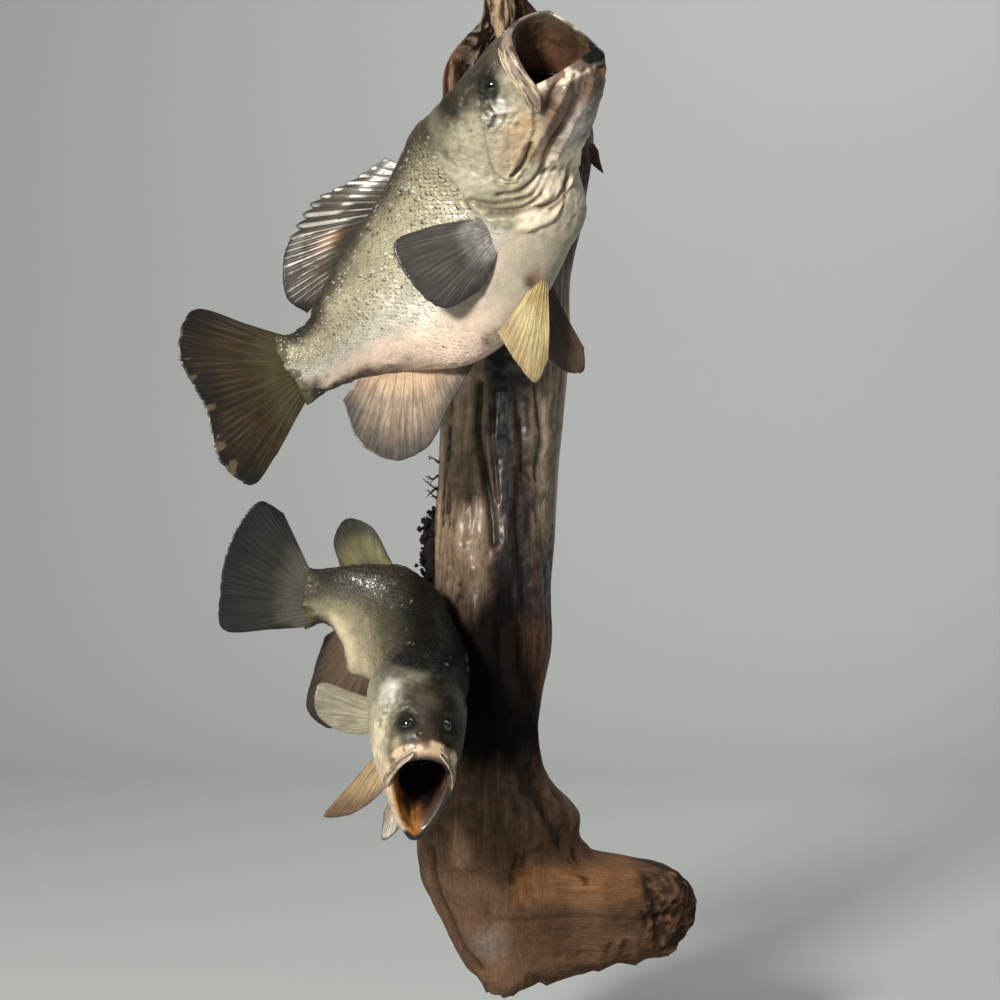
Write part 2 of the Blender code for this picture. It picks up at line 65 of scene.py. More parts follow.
# Lines on a full-size head: (forward, up, out) points from the snout, how deep the line is
# pressed in (negative for a ridge), its width, and how strongly it is darkened brown: painted shade in the
# crease.
HEAD_LINES = [
    ([(-53, 11, 29), (-72, 4, 38), (-89, -4, 43), (-107, -11, 45), (-117, -20, 46), (-118, -30, 47)],
     1.6, 1.1, 0.5),
    ([(-78, -41, 42), (-91, -40, 42), (-102, -38, 42), (-113, -31, 45)], 5.5, 2.0, 1.0),
    ([(-60, -65, 34), (-71, -59, 36), (-83, -57, 37), (-96, -56, 36), (-108, -57, 36)], 5.0, 2.6, 0.9),
    ([(-33, -71, 29), (-48, -69, 32), (-67, -63, 35)], 4.5, 3.4, 0.4),
    ([(-67, -87, 15), (-85, -83, 16), (-97, -83, 15)], 3.0, 1.6, 0.8),
    ([(-132, -21, 53), (-123, -43, 48), (-113, -52, 39), (-106, -55, 37)], 4.4, 2.1, 0.9),
    ([(-144, 0, 50), (-140, -20, 55), (-133, -36, 55), (-127, -51, 50), (-107, -61, 34)], 4.4, 2.1, 0.9),
    ([(-146, -8, 54), (-143, -28, 58), (-134, -50, 55), (-127, -59, 48), (-105, -68, 30)], 4.4, 2.1, 0.9),
    ([(-149, -19, 58), (-143, -38, 59), (-135, -57, 55), (-131, -69, 49), (-105, -75, 24)], 4.4, 2.1, 0.9),
    ([(-135, -63, 54), (-129, -76, 42), (-119, -80, 25), (-103, -80, 19)], 4.4, 2.1, 0.9),
    ([(-135, -72, 52), (-128, -82, 37), (-120, -81, 24), (-100, -83, 15)], 4.4, 2.1, 0.9),
    ([(-40, -34, 42), (-52, -36, 42), (-66, -39, 42), (-77, -37, 42)], -1.8, 2.0, 0.0),
    ([(-81, -35, 43), (-99, -32, 43), (-116, -28, 46)], -1.6, 1.8, 0.0),
    ([(-14, -62, 27), (-36, -56, 37), (-59, -51, 39), (-79, -45, 41)], -4.0, 4.0, 0.0),
    ([(-13, -53, 30), (-28, -49, 38), (-41, -50, 39)], 2.4, 2.6, 0.6),
    ([(-20, -81, 18), (-32, -80, 23), (-49, -75, 28), (-75, -68, 32), (-93, -66, 32)], -3.6, 4.2, 0.0),
    ([(-21, 5, 18), (-33, 11, 19), (-46, 11, 26)], -1.6, 3.5, 0.0),
    ([(-53, 2, 35), (-59, -5, 39), (-70, -5, 41)], 2.2, 1.6, 0.7),
    ([(-55, -15, 41), (-64, -14, 42), (-72, -10, 42)], 1.6, 1.3, 0.5),
    ([(-103, 31, 44), (-113, 31, 45), (-125, 28, 46), (-134, 20, 48)], 1.4, 2.2, 0.7),
]
# Patches of colour on the head: place (forward, up, and out where it matters), reach, colour
# and strength. Some are painted shade and some painted highlights, as marked.
BIG_PATCHES = [
    ((-40, 14), 18, "#2c2920", 0.85), ((-60, 24), 14, "#464234", 0.5), ((-24, 8), 12, "#6d6350", 0.6),
    # The three near black patches on the next line and the one at (-40, -9) are painted shade of the brow and
    # socket round the eye.
    ((-30, 8), 9, "#15140f", 0.9), ((-43, 9), 10, "#1b1a14", 0.9), ((-46, 0), 8, "#14130f", 0.9),
    # The two near white patches at (-50, -11) and (-64, -9) are painted highlights on the silver lumps.
    ((-50, -11), 8, "#dcdbd0", 0.8), ((-64, -9), 6, "#d5d4c8", 0.75), ((-60, 1), 8, "#1b1a14", 0.9),
    ((-70, -2), 5, "#2b2a22", 0.8), ((-57, -16), 4, "#2f2c22", 0.7), ((-40, -9), 4, "#1a1914", 0.8),
    ((-34, -16), 10, "#8b826b", 0.5),
    ((-60, -28), 12, "#d9b07c", 0.5), ((-92, -28), 17, "#c8ad86", 0.45), ((-89, -49), 8, "#a87a50", 0.7),
    ((-36, -47), 6.5, "#3c2115", 0.95), ((-42, -44), 5, "#3c2115", 0.95), ((-47, -58), 6, "#8f6c55", 0.5),
    # The three near white patches on the jaw, from here to (-76, -72), are pale skin with a painted
    # highlight.
    ((-62, -77), 10, "#e4e0d8", 0.75),
    ((-44, -80), 8, "#d8d2c8", 0.6), ((-76, -72), 8, "#e0dbd2", 0.6), ((-74, -62), 5, "#6a4534", 0.6),
    ((-13, -89, 3), 6, "#b8843f", 0.8), ((-113, 30), 7, "#2f2d22", 0.7),
    ((-10, -3), 9, "#5d4d3e", 0.75), ((-128, 8), 15, "#cfcab4", 0.45),
    ((-100, -6), 12, "#bdb9a4", 0.4), ((-118, -34), 9, "#d8c9a8", 0.5), ((-30, -60), 5, "#b8a898", 0.6),
    ((-24, -70), 7, "#6e5a4c", 0.4), ((2, -81, 0), 12, "#0a0807", 1.0), ((0, -75, 9), 9, "#0a0807", 1.0),
    ((-6, -86, 6), 7, "#1a1411", 1.0),
]
# Marks on the body: place across and up, reach, colour and strength. The last three are a painted shadow of
# the right pectoral fin along its root.
BIG_MARKS_AND_FIN_SHADOW = [
    ((-12, 145), 6.5, "#3a281b", 0.85), ((-4, 151), 5, "#4a3424", 0.6), ((28, 197), 7, "#4f331f", 0.95),
    ((33, 204), 5, "#8a6242", 0.7), ((-8, 222), 5, "#4a3f33", 0.7), ((-11, 210), 5, "#43382d", 0.75),
    ((-15, 198), 5, "#4a3f33", 0.6),
]
SMALL_PATCHES = [
    ((-92, 11, 44), 16, "#f0eee4", 0.9), ((-80, 2, 47), 14, "#ebe6d4", 0.85),
    ((-69, -8, 49), 14, "#e6dfc4", 0.8), ((-56, -30, 53), 17, "#ece0bd", 0.8),
    ((-57, -62, 51), 18, "#eadcc0", 0.75), ((-34, -80, 42), 14, "#ecdcbf", 0.75),
    ((-34, 8, 22), 12, "#23211a", 0.9), ((-48, 6, 26), 10, "#2f2c23", 0.85),
    ((-24, -4, 26), 9, "#343027", 0.8), ((-62, 24, 4), 12, "#554e3e", 0.6),
    # The two near black patches at out -30 are painted shade on the smaller head.
    ((-84, 24, -30), 22, "#1a1612", 0.9), ((-40, 8, -30), 16, "#15110e", 0.9),
    ((-20, -15, 37), 9, "#c9bd9c", 0.7), ((-6, 0, 6), 12, "#46301f", 0.8),
    ((14, -122, 0), 15, "#110d0b", 1.0),
]
# Silver lumps behind the eye and flecked areas, both with painted glints: forward, up, reach and strength.
SILVER_LUMPS = [(-56, -10, 15, 1.0), (-72, -4, 9, 0.7)]
FLECKED = [(-60, -8, 22, 1.0), (-125, 5, 25, 1.0), (-110, -30, 20, 1.0)]
# The silver of sheltered skin: it has no gloss at all.
DULL = -0.3
# Rings of a glass eye, by how far they are turned from the gaze.
EYE_STOPS = ((0.20, "#060606"), (0.215, "#2b281c"), (0.235, "#12130f"), (0.40, "#1d1e1a"), (0.5, "#0f100d"))
# A scale is a grid of so many cells, and its patch of the bake map is so wide.
SCALE_ALONG = 4
SCALE_ACROSS = 4
SCALE_MIDDLE = 2
BAKE_PATCH = 0.003

# The bodies are described as in the solids. A spine row is the centre, the dorsal direction,
# the height above and below the centre, the half width and two superellipse powers, from the
# tail forward. A head row is its top (forward, up), side (forward on the right, up, half width,
# forward on the left) and bottom (forward, up), measured from the tip of the snout, and the
# powers. The gill and cheek rows are the free edges of those plates: height, and how far
# forward the edge lies there.
BIG = SimpleNamespace(
    name="bass",
    head_size=1.0,
    spine=[
        ((-189, -197, 115), (-0.47, -0.05, 0.88), 35, 35, 2.0, (2.0, 2.0)),
        ((-178, -189, 121), (-0.49, -0.03, 0.87), 31, 32, 7.0, (2.0, 2.0)),
        ((-161, -176, 131), (-0.58, 0.03, 0.81), 31, 32, 13, (2.0, 2.0)),
        ((-137, -153, 151), (-0.70, 0.17, 0.69), 46, 49, 22, (2.0, 2.0)),
        ((-88, -130, 190), (-0.70, 0.34, 0.63), 76, 97, 36, (2.0, 2.1)),
        ((-42, -123, 242), (-0.74, 0.36, 0.57), 89, 106, 44, (2.0, 2.1)),
        ((-17, -130, 280), (-0.82, 0.23, 0.53), 89, 97, 46, (2.0, 2.1)),
        ((-5, -150, 306), (-0.86, 0.03, 0.51), 82, 94, 43, (1.9, 2.0)),
    ],
    head=((5, -237, 408), (0.18, -0.68, 0.71), (-0.979, -0.055, 0.195)),
    rings=[
        ((-104, 55), (-108, -14, 45, -108), (-114, -88), (1.8, 2.0)),
        ((-84, 45), (-85, -18, 44, -84), (-90, -88), (1.8, 2.0)),
        ((-60, 32), (-64, -23, 43, -58), (-62, -92), (1.8, 2.0)),
        ((-36, 19), (-45, -29, 42, -30), (-36, -94), (1.9, 1.8)),
        ((-13, 5), (-31, -33, 41.5, -7), (-12, -90), (2.0, 1.5)),
        ((0, -1), (-23, -34, 40, 8), (4, -82), (1.8, 1.25)),
    ],
    mouth=[
        ((1, -4), (-22, -34, 38, 8), (5, -79), (1.8, 1.25)),
        ((-4, -8), (-26, -35, 35, 1), (-2, -76), (1.9, 1.4)),
        ((-28, -13), (-42, -38, 31, -26), (-28, -78), (2.0, 1.8)),
        ((-62, -18), (-66, -40, 24, -62), (-62, -72), (2.0, 2.0)),
        ((-92, -30), (-92, -44, 14, -92), (-92, -60), (2.0, 2.0)),
    ],
    gill=[(-95, -104), (-90, -112), (-77, -143), (-53, -156),
          (-15, -157), (-1, -150), (14, -139), (30, -131)],
    cheek=[(-46, -84), (-42, -100), (-36, -119), (-25, -121), (-8, -104), (8, -68)],
    maxilla=[((-5, -2, 15), 3.5), ((-10, -9, 28.5), 5), ((-17, -19, 37.5), 5.8),
             ((-23, -27, 41), 6.2), ((-33, -36, 43.5), 6.2), ((-44, -42, 44.5), 5)],
    plate=3.0,
    eye=(-41, 0, 23.4),
    eye_radius=10.5,
    nostrils=[(-19, 9, 12), (-26, 13, 14)],
    arches=-46,
    scale_rows=72,
    back_share=(0.13, 0.37),
    crown_share=(0.16, 0.33),
    painted_shade_side=0.0,
    nape=1.4,
    ring_share=1.0,
    line_weight=1.0,
    marks=BIG_MARKS_AND_FIN_SHADOW,
    dashes=0.2,
    glints=0.13,
    amber=False,
    lip=0.3,
    patches=BIG_PATCHES,
    # glint is the colour of painted highlights; hollow is the brown of painted shade in creases and hollows.
    colours=dict(
        back="#443e30", flank="#9f987f", low="#aeaa9c", belly="#cfb9a6", breast="#a69d8a",
        crown="#221f18", cover="#9d9880", cheek="#cbab8a", throat="#dccfb6", jaw="#755f50",
        lip="#e6d5bd", glint="#fbf8ef", hollow="#442b1d"),
)
SMALL = SimpleNamespace(
    name="small_bass",
    head_size=0.7,
    spine=[
        ((-184, -110, -92), (0.00, -0.12, 0.99), 30, 30, 2.0, (2.0, 2.0)),
        ((-174, -106, -91), (0.00, -0.15, 0.99), 27, 27, 6.0, (2.0, 2.0)),
        ((-160, -100, -90), (0.02, -0.18, 0.98), 27, 28, 10, (2.0, 2.0)),
        ((-140, -95, -93), (0.05, -0.24, 0.97), 34, 47, 17, (2.0, 2.0)),
        ((-114, -92, -101), (0.10, -0.30, 0.94), 46, 76, 27, (2.0, 2.1)),
        ((-92, -100, -118), (0.20, -0.38, 0.90), 53, 73, 33, (2.0, 2.1)),
        ((-78, -122, -140), (0.24, -0.45, 0.86), 52, 62, 36, (2.0, 2.1)),
        ((-70, -154, -168), (0.22, -0.50, 0.84), 54, 54, 43, (1.9, 2.1)),
    ],
    head=((-61, -273, -210), (0.12, -0.857, -0.515), (0.17, -0.51, 0.84)),
    rings=[
        ((-96, 31), (-98, -14, 43, -98), (-92, -74), (1.8, 2.1)),
        ((-72, 27), (-72, -18, 42, -72), (-64, -80), (1.8, 2.0)),
        ((-46, 18), (-46, -22, 39, -46), (-36, -87), (1.9, 2.0)),
        ((-24, 8), (-26, -28, 34, -26), (-8, -91), (2.0, 1.8)),
        ((-9, 1), (-16, -33, 31, -16), (9, -93), (2.1, 1.7)),
        ((1, -5), (-10, -36, 28, -10), (15, -88), (2.0, 1.6)),
    ],
    mouth=[
        ((2, -12), (-8, -36, 25, -8), (16, -85), (1.8, 1.6)),
        ((-3, -16), (-13, -38, 22.5, -13), (10, -81), (1.8, 1.6)),
        ((-20, -17), (-28, -39, 20, -28), (-10, -77), (1.9, 1.8)),
        ((-42, -19), (-44, -40, 16, -44), (-38, -66), (2.0, 2.0)),
        ((-62, -28), (-62, -41, 9, -62), (-60, -54), (2.0, 2.0)),
    ],
    gill=[(-84, -70), (-70, -96), (-50, -108), (-16, -112), (4, -104), (16, -98)],
    cheek=[(-38, -56), (-32, -72), (-22, -80), (-8, -72), (4, -50)],
    maxilla=[((0, -8, 11), 3.5), ((1, -16, 20), 4), ((-3, -32, 27), 4.5),
             ((-8, -47, 29.5), 5), ((-13, -60, 28.5), 3.5)],
    plate=2.2,
    eye=(-27, 1, 15.6),
    eye_radius=6.6,
    nostrils=[(-12, 4, 8), (-17, 7, 9)],
    arches=-66,
    scale_rows=60,
    # Its back, near black in the colours below, runs far down the side, and its dark crown is wide: dark
    # pigment with painted shade.
    back_share=(0.12, 0.62),
    crown_share=(0.26, 0.52),
    painted_shade_side=0.94,
    nape=2.5,
    ring_share=0.75,
    line_weight=0.6,
    marks=[],
    dashes=0.0,
    glints=0.06,
    amber=True,
    lip=1.0,
    patches=SMALL_PATCHES,
    # glint is the colour of painted highlights; hollow is the brown of painted shade in creases and hollows.
    colours=dict(
        back="#0f0d0a", flank="#5d5846", low="#8a8268", belly="#c4b797", breast="#b9ae90",
        crown="#332d22", cover="#a39e84", cheek="#ada588", throat="#d6c7a6", jaw="#bba78b",
        lip="#cdb294", glint="#a09a84", hollow="#3a2b20"),
)

# A fin is the line of its root, the line of its margin, its rays, how far the web is cut back
# between two rays, how far the sheet bellies out, how deep its root is sunk, and its colours:
# root, middle, margin and streak.
BIG_FINS = {
    "spiny_dorsal_fin": dict(
        root=[(-104, -87, 320), (-117, -85, 302), (-127, -87, 286), (-137, -93, 265)],
        edge=[(-109, -84, 326), (-140, -78, 308), (-181, -70, 287), (-200, -89, 249)],
        rays=10, notch=0.13, belly=0, sunk=16, spiny=True, painted_sheen=(0.35, 1.1, 1.3),
        colours=("#2e2a20", "#4a453d", "#3a352f", "#8b857a")),
    "soft_dorsal_fin": dict(
        root=[(-137, -94, 264), (-146, -103, 240), (-151, -112, 219), (-155, -122, 205)],
        edge=[(-200, -90, 249), (-204, -104, 228), (-200, -120, 190), (-178, -143, 172)],
        rays=13, notch=0.006, belly=0, sunk=16, spiny=False, painted_sheen=(1.25, 0.5, 0.0),
        colours=("#27231a", "#43392f", "#1e1a17", "#6a6056"), spots=[(0.22, 0.45, 0.12, "#b98a66")]),
    "anal_fin": dict(
        root=[(-39, -135, 124), (-64, -146, 119), (-91, -157, 114), (-118, -163, 115)],
        edge=[(-24, -134, 126), (-45, -162, 88), (-70, -194, 43), (-93, -205, 34),
              (-120, -207, 46), (-141, -190, 90)],
        rays=14, notch=0.006, belly=0, sunk=16, spiny=False,
        colours=("#d6b79a", "#a08e7c", "#5a5651", "#66513f")),
    "tail_fin": dict(
        root=[(-196, -191, 145), (-189, -197, 115), (-180, -199, 85)],
        edge=[(-222, -203, 156), (-272, -230, 165), (-280, -245, 132), (-256, -247, 80),
              (-239, -253, 28), (-218, -246, 12), (-196, -226, 40)],
        rays=19, notch=0.006, belly=0, sunk=9, spiny=False,
        colours=("#45422a", "#322817", "#14110e", "#5a4d37"), chips=0.6),
    "pectoral_fin_right": dict(
        root=[(-16, -174, 252), (-11, -175, 240), (-6, -175, 226)],
        edge=[(-62, -188, 246), (-95, -202, 228), (-80, -206, 194), (-52, -202, 171), (-18, -188, 188)],
        rays=14, notch=0.005, belly=5, sunk=8, spiny=False,
        colours=("#8f8c86", "#474440", "#32302d", "#77736c"), painted_root_glint=0.6),
    "pectoral_fin_left": dict(
        root=[(6, -106, 236), (10, -106, 226), (14, -107, 214)],
        edge=[(-36, -100, 178), (-34, -103, 152), (-18, -106, 140), (0, -109, 148), (8, -110, 172)],
        rays=12, notch=0.005, belly=-2, sunk=8, spiny=False,
        colours=("#8f8c86", "#4b4843", "#35322f", "#77736c")),
    "pelvic_fin_right": dict(
        root=[(31, -172, 197), (36, -170, 195), (41, -165, 193)],
        edge=[(-3, -180, 151), (14, -186, 123), (32, -188, 105), (44, -182, 125)],
        rays=7, notch=0.006, belly=2, sunk=9, spiny=False,
        colours=("#b9a06c", "#bdac7c", "#9d895f", "#6f5a38"), border=0.8),
    # Its dark brown colours are painted shade over a grey brown, see-through fin.
    "pelvic_fin_left": dict(
        root=[(33, -147, 200), (38, -143, 204), (43, -139, 208)],
        edge=[(47, -150, 129), (60, -150, 118), (76, -146, 117), (78, -140, 140)],
        rays=7, notch=0.006, belly=-2, sunk=12, spiny=False,
        colours=("#3b2718", "#2e1d12", "#4c3a2b", "#503c28"), border=0.4),
}
SMALL_FINS = {
    "tail_fin": dict(
        root=[(-184, -113, -63), (-186, -111, -92), (-187, -109, -118)],
        edge=[(-201, -128, -12), (-220, -139, -1), (-243, -146, -26),
              (-258, -145, -85), (-258, -138, -118), (-211, -118, -121)],
        rays=17, notch=0.005, belly=0, sunk=8, spiny=False,
        colours=("#55524a", "#24221e", "#11100f", "#45423c")),
    "soft_dorsal_fin": dict(
        root=[(-140, -96, -70), (-125, -100, -66), (-104, -104, -66)],
        edge=[(-152, -96, -62), (-157, -100, -38), (-143, -109, -17), (-124, -112, -23), (-102, -107, -58)],
        rays=11, notch=0.006, belly=0, sunk=8, spiny=False,
        colours=("#55523e", "#6f6a48", "#2b2922", "#8a8460")),
    "anal_fin": dict(
        root=[(-150, -88, -122), (-136, -80, -142), (-118, -76, -160)],
        edge=[(-168, -70, -131), (-180, -58, -165), (-186, -43, -210),
              (-170, -46, -222), (-130, -60, -196)],
        rays=11, notch=0.005, belly=0, sunk=14, spiny=False,
        colours=("#6d5541", "#493a2d", "#181512", "#7a614a")),
    "pectoral_fin_right": dict(
        root=[(-114, -172, -184), (-115, -174, -195), (-115, -176, -207)],
        edge=[(-130, -176, -175), (-164, -184, -166), (-166, -188, -190),
              (-140, -188, -209), (-122, -184, -211)],
        rays=13, notch=0.005, belly=4, sunk=10, spiny=False,
        colours=("#a8a392", "#98937f", "#86816f", "#6b675c")),
    "pelvic_fin_right": dict(
        root=[(-100, -146, -214), (-97, -150, -222), (-94, -154, -230)],
        edge=[(-129, -176, -258), (-157, -196, -284), (-139, -191, -284),
              (-120, -184, -275), (-107, -179, -264)],
        rays=7, notch=0.005, belly=2, sunk=10, spiny=False,
        colours=("#b8a68c", "#a08a66", "#5f4835", "#c4b08e")),
    "pelvic_fin_left": dict(
        root=[(-84, -146, -226), (-80, -148, -232), (-76, -150, -236)],
        edge=[(-106, -172, -284), (-105, -178, -308), (-97, -178, -303), (-89, -172, -294)],
        rays=6, notch=0.005, belly=2, sunk=10, spiny=False,
        colours=("#9c927e", "#857a66", "#756a58", "#aba08a")),
}

# Driftwood slices from the top down: height, left and right side, and depth off the wall.
WOOD_WAIST = 0.42
WOOD_SLICES = [
    (532, -12, 4, 24), (512, -17, 12, 36), (490, -16, 30, 44), (474, -19, 40, 48),
    (457, -34, 46, 50), (429, -53, 58, 56), (392, -57, 78, 64), (366, -57, 90, 80),
    (340, -56, 90, 96), (310, -56, 86, 104), (270, -56, 80, 106), (220, -56, 69, 104),
    (160, -57, 68, 98), (79, -58, 62, 94), (31, -60, 57, 98), (-26, -64, 54, 104),
    (-85, -63, 50, 114), (-140, -66, 50, 122), (-192, -66, 40, 124), (-236, -70, 37, 122),
    (-270, -74, 48, 120), (-302, -78, 76, 119), (-334, -80, 84, 118), (-346, -79, 104, 116),
    (-354, -78, 154, 114), (-368, -76, 180, 112), (-386, -68, 190, 108), (-406, -59, 190, 100),
    (-424, -50, 182, 94), (-440, -42, 166, 88), (-456, -33, 96, 82), (-468, -23, 42, 74),
    (-478, -14, 10, 58),
]
# Grooves worn into its face: (across, height) points, depth and width.
GROOVES = [
    ([(-20, 110), (-22, 60), (-14, 20), (-8, -10), (-6, -40)], 8.0, 4.0),
    ([(-8, 90), (-6, 40), (-2, 0)], 4.0, 2.5),
    ([(-34, 100), (-36, 40), (-30, 0)], 2.5, 3.0),
    ([(14, 120), (22, 40), (18, -20), (24, -90), (14, -170)], 3.5, 5.0),
    ([(34, 110), (38, 70), (36, 20)], 3.0, 3.0),
    ([(14, -120), (15, -155), (30, -219), (39, -266), (52, -300)], -5.0, 5.0),
    ([(2, -120), (4, -160), (16, -225), (26, -275)], 6.0, 8.0),
    ([(-66, -330), (-60, -370), (-44, -410), (-20, -452)], 5.0, 3.0),
    ([(30, -250), (40, -290), (60, -325)], 4.0, 5.0),
    ([(16, -332), (12, -346), (10, -360)], 4.5, 2.2),
    ([(24, -330), (20, -344)], 4.0, 2.2),
    ([(40, -326), (30, -330)], 3.0, 2.2),
    ([(72, -332), (76, -348), (82, -360)], 4.5, 2.2),
    ([(68, -340), (74, -352)], 3.0, 2.0),
    ([(0, -400), (70, -392), (150, -398)], 2.0, 2.5),
]
# Swellings: (across, height), how high and how wide, negative for a hollow.
SWELLINGS = [
    ((-34, -44), 8.0, 14), ((-24, -66), 6.0, 9), ((-38, -22), 4.0, 9), ((42, 56), 6.0, 12),
    ((38, 8), 5.0, 7), ((28, 30), -3.0, 6), ((-40, 30), 3.0, 12), ((-8, 60), 4.0, 10),
    ((22, -230), 4.0, 20), ((-20, -260), -6.0, 40), ((-22, -424), 6.0, 18), ((60, -330), -4.0, 20),
    ((120, -380), 3.0, 40), ((150, -340), -4.0, 12), ((170, -372), 4.0, 12), ((154, -402), -5.0, 10),
]


def linear(code):
    """An sRGB hex colour as linear red, green and blue."""
    values = [int(code[i:i + 2], 16) / 255 for i in (1, 3, 5)]
    return tuple(v / 12.92 if v <= 0.04045 else ((v + 0.055) / 1.055) ** 2.4 for v in values)


def colour_property(name, description, code):
    return FloatVectorProperty(
        name=name, description=description, subtype="COLOR", size=3, min=0, max=1,
        default=linear(code))


class FishSettings(bpy.types.PropertyGroup):
    """Skin and scales of both fish."""
    body_step: FloatProperty(
        name="Body step", description="Distance between rings of the body, in mm", default=4.0, min=1)
    head_step: FloatProperty(
        name="Head step", description="Distance between rings of the head, in mm", default=1.2, min=0.5)
    ring_points: IntProperty(
        name="Ring points", description="Points round the larger fish", default=300, min=40)
    scale_lift: FloatProperty(
        name="Scale lift", description="Height of a scale's free edge, in mm", default=0.30, min=0)
    rim: colour_property("Rim", "Olive brown inside the lips", "#3a2d1f")
    palate: colour_property("Palate", "Brown inside of the mouth", "#553a2a")
    # The deep mouth colour is nearly black: painted shade over maroon.
    deep: colour_property("Deep mouth", "Maroon black throat of the mouth", "#150806")
    dash: colour_property("Dash", "Dark marks on the flank", "#24211b")


class FinSettings(bpy.types.PropertyGroup):
    """All the fins."""
    ray_columns: IntProperty(
        name="Columns", description="Columns of the sheet between two rays", default=18, min=6)
    rows: IntProperty(name="Rows", description="Rows from the root to the margin", default=34, min=8)
    ray_root: FloatProperty(name="Ray root", description="Ray thickness at its root, in mm", default=1.9)
    ray_tip: FloatProperty(name="Ray tip", description="Ray thickness at its tip, in mm", default=0.7)
    web: FloatProperty(name="Web", description="Thickness of the web, in mm", default=0.5)
    wave: FloatProperty(name="Wave", description="Waviness of a dried fin, in mm", default=1.6)


class WoodSettings(bpy.types.PropertyGroup):
    """Driftwood and what grows on it."""
    levels: IntProperty(name="Levels", description="Rings up the driftwood", default=400, min=40)
    around: IntProperty(name="Points", description="Points round its front", default=216, min=24)
    grain: FloatProperty(name="Grain", description="Depth of the weathered grain, in mm", default=1.9)
    dark: colour_property("Dark", "Dark varnished wood", "#1c130d")
    brown: colour_property("Brown", "Middle brown of the trunk", "#4d3828")
    pale: colour_property("Pale", "Grey tan of the worn upper trunk", "#8f7a62")
    rust: colour_property("Rust", "Orange brown band of the foot", "#875d3b")
    foot: colour_property("Foot", "Dull brown of the foot", "#6b5240")
    rot: colour_property("Rot", "Dark brown of the rotted end", "#3a2a20")
    limb: colour_property("Limb", "Light peeled limb at the top", "#a58c72")


class StageSettings(bpy.types.PropertyGroup):
    """Floor, backdrop, lamps and camera."""
    floor_drop: FloatProperty(name="Floor", description="Floor below the origin, in m", default=0.56)
    backdrop: FloatProperty(name="Backdrop", description="Distance of the backdrop, in m", default=3.2)
    distance: FloatProperty(name="Distance", description="Camera to the wall plane, in m", default=1.895)
    lens: FloatProperty(name="Lens", description="Focal length, in mm", default=68.4)
    key: FloatProperty(name="Key", description="Power of the key lamp, in W", default=100)
    fill: FloatProperty(name="Fill", description="Power of the fill lamp, in W", default=6)
    sky: FloatProperty(name="Sky", description="Strength of the even light all round", default=0.16)
    paint: colour_property("Paint", "Plain pale floor and backdrop", "#bfc2c0")


def unit(vector):
    vector = np.asarray(vector, float)
    return vector / np.linalg.norm(vector)


def unit_rows(vectors):
    return vectors / np.linalg.norm(vectors, axis=-1, keepdims=True)


def axes(origin, forward, dorsal):
    """Origin and right-handed axes: forward, dorsal and the animal's right side."""
    forward = unit(forward)
    dorsal = np.asarray(dorsal, float)
    dorsal = unit(dorsal - forward * np.dot(dorsal, forward))
    return np.asarray(origin, float), forward, dorsal, np.cross(forward, dorsal)


def place(axis_frame, points):
    """Points given as (forward, up, right) in a frame, as world points."""
    origin, forward, dorsal, right = axis_frame
    points = np.asarray(points, float)
    return origin + points[..., :1] * forward + points[..., 1:2] * dorsal + points[..., 2:3] * right


def spline(points, knots, where):
    """A smooth curve through the points (rows of any shape) at the knots."""
    points = np.asarray(points, float)
    knots = np.asarray(knots, float)
    where = np.atleast_1d(np.asarray(where, float))
    slopes = np.gradient(points, knots, axis=0)
    i = np.clip(np.searchsorted(knots, where, side="right") - 1, 0, len(knots) - 2)
    shape = (-1,) + (1,) * (points.ndim - 1)
    step = (knots[i + 1] - knots[i]).reshape(shape)
    u = (where - knots[i]).reshape(shape) / step
    start = (2 * u**3 - 3 * u**2 + 1) * points[i] + (u**3 - 2 * u**2 + u) * step * slopes[i]
    end = (3 * u**2 - 2 * u**3) * points[i + 1] + (u**3 - u**2) * step * slopes[i + 1]
    return start + end


def along(points, count):
    """The given number of points, evenly spread on a smooth curve through the rows."""
    points = np.asarray(points, float)
    knots = np.concatenate([[0], np.cumsum(np.linalg.norm(np.diff(points, axis=0), axis=1))])
    return spline(points, knots, np.linspace(0, knots[-1], count))


def ring(axis_frame, top, side, bottom, powers, count):
    """A closed outline of two superellipse halves, from the top round the right side."""
    origin, forward, dorsal, right = axis_frame
    angle = np.linspace(0, 2 * math.pi, count, endpoint=False)
    cosine = np.cos(angle)
    sine = np.sin(angle)
    upper = cosine >= 0
    power = np.where(upper, 2 / powers[0], 2 / powers[1])
    reach = np.abs(cosine) ** power
    across = side[2] * np.sign(sine) * np.abs(sine) ** power
    middle = np.where(sine < 0, side[3], side[0])
    ahead = middle + (np.where(upper, top[0], bottom[0]) - middle) * reach
    up = side[1] + (np.where(upper, top[1], bottom[1]) - side[1]) * reach
    return origin + np.outer(ahead, forward) + np.outer(up, dorsal) + np.outer(across, right)


def spine_frames(fish):
    centres = np.array([row[0] for row in fish.spine], float)
    lengths = np.linalg.norm(np.diff(centres, axis=0), axis=1)
    knots = np.concatenate([[0], np.cumsum(lengths)])
    tangents = np.gradient(centres, knots, axis=0)
    return [axes(centre, tangent, row[1]) for centre, tangent, row in zip(centres, tangents, fish.spine)]


def sweep(key_rings, step, fine=None, since=0):
    """Rings one step apart on smooth curves through the key rings, or finer after one of them."""
    key_rings = np.asarray(key_rings)
    moves = np.linalg.norm(np.diff(key_rings, axis=0), axis=2).mean(axis=1)
    knots = np.concatenate([[0], np.cumsum(moves)])
    split = knots[since]
    where = [np.linspace(0, split, round(split / step), endpoint=False)] if since else []
    rest = knots[-1] - split
    where.append(np.linspace(split, knots[-1], max(2, round(rest / (fine or step)))))
    return spline(key_rings, knots, np.concatenate(where))


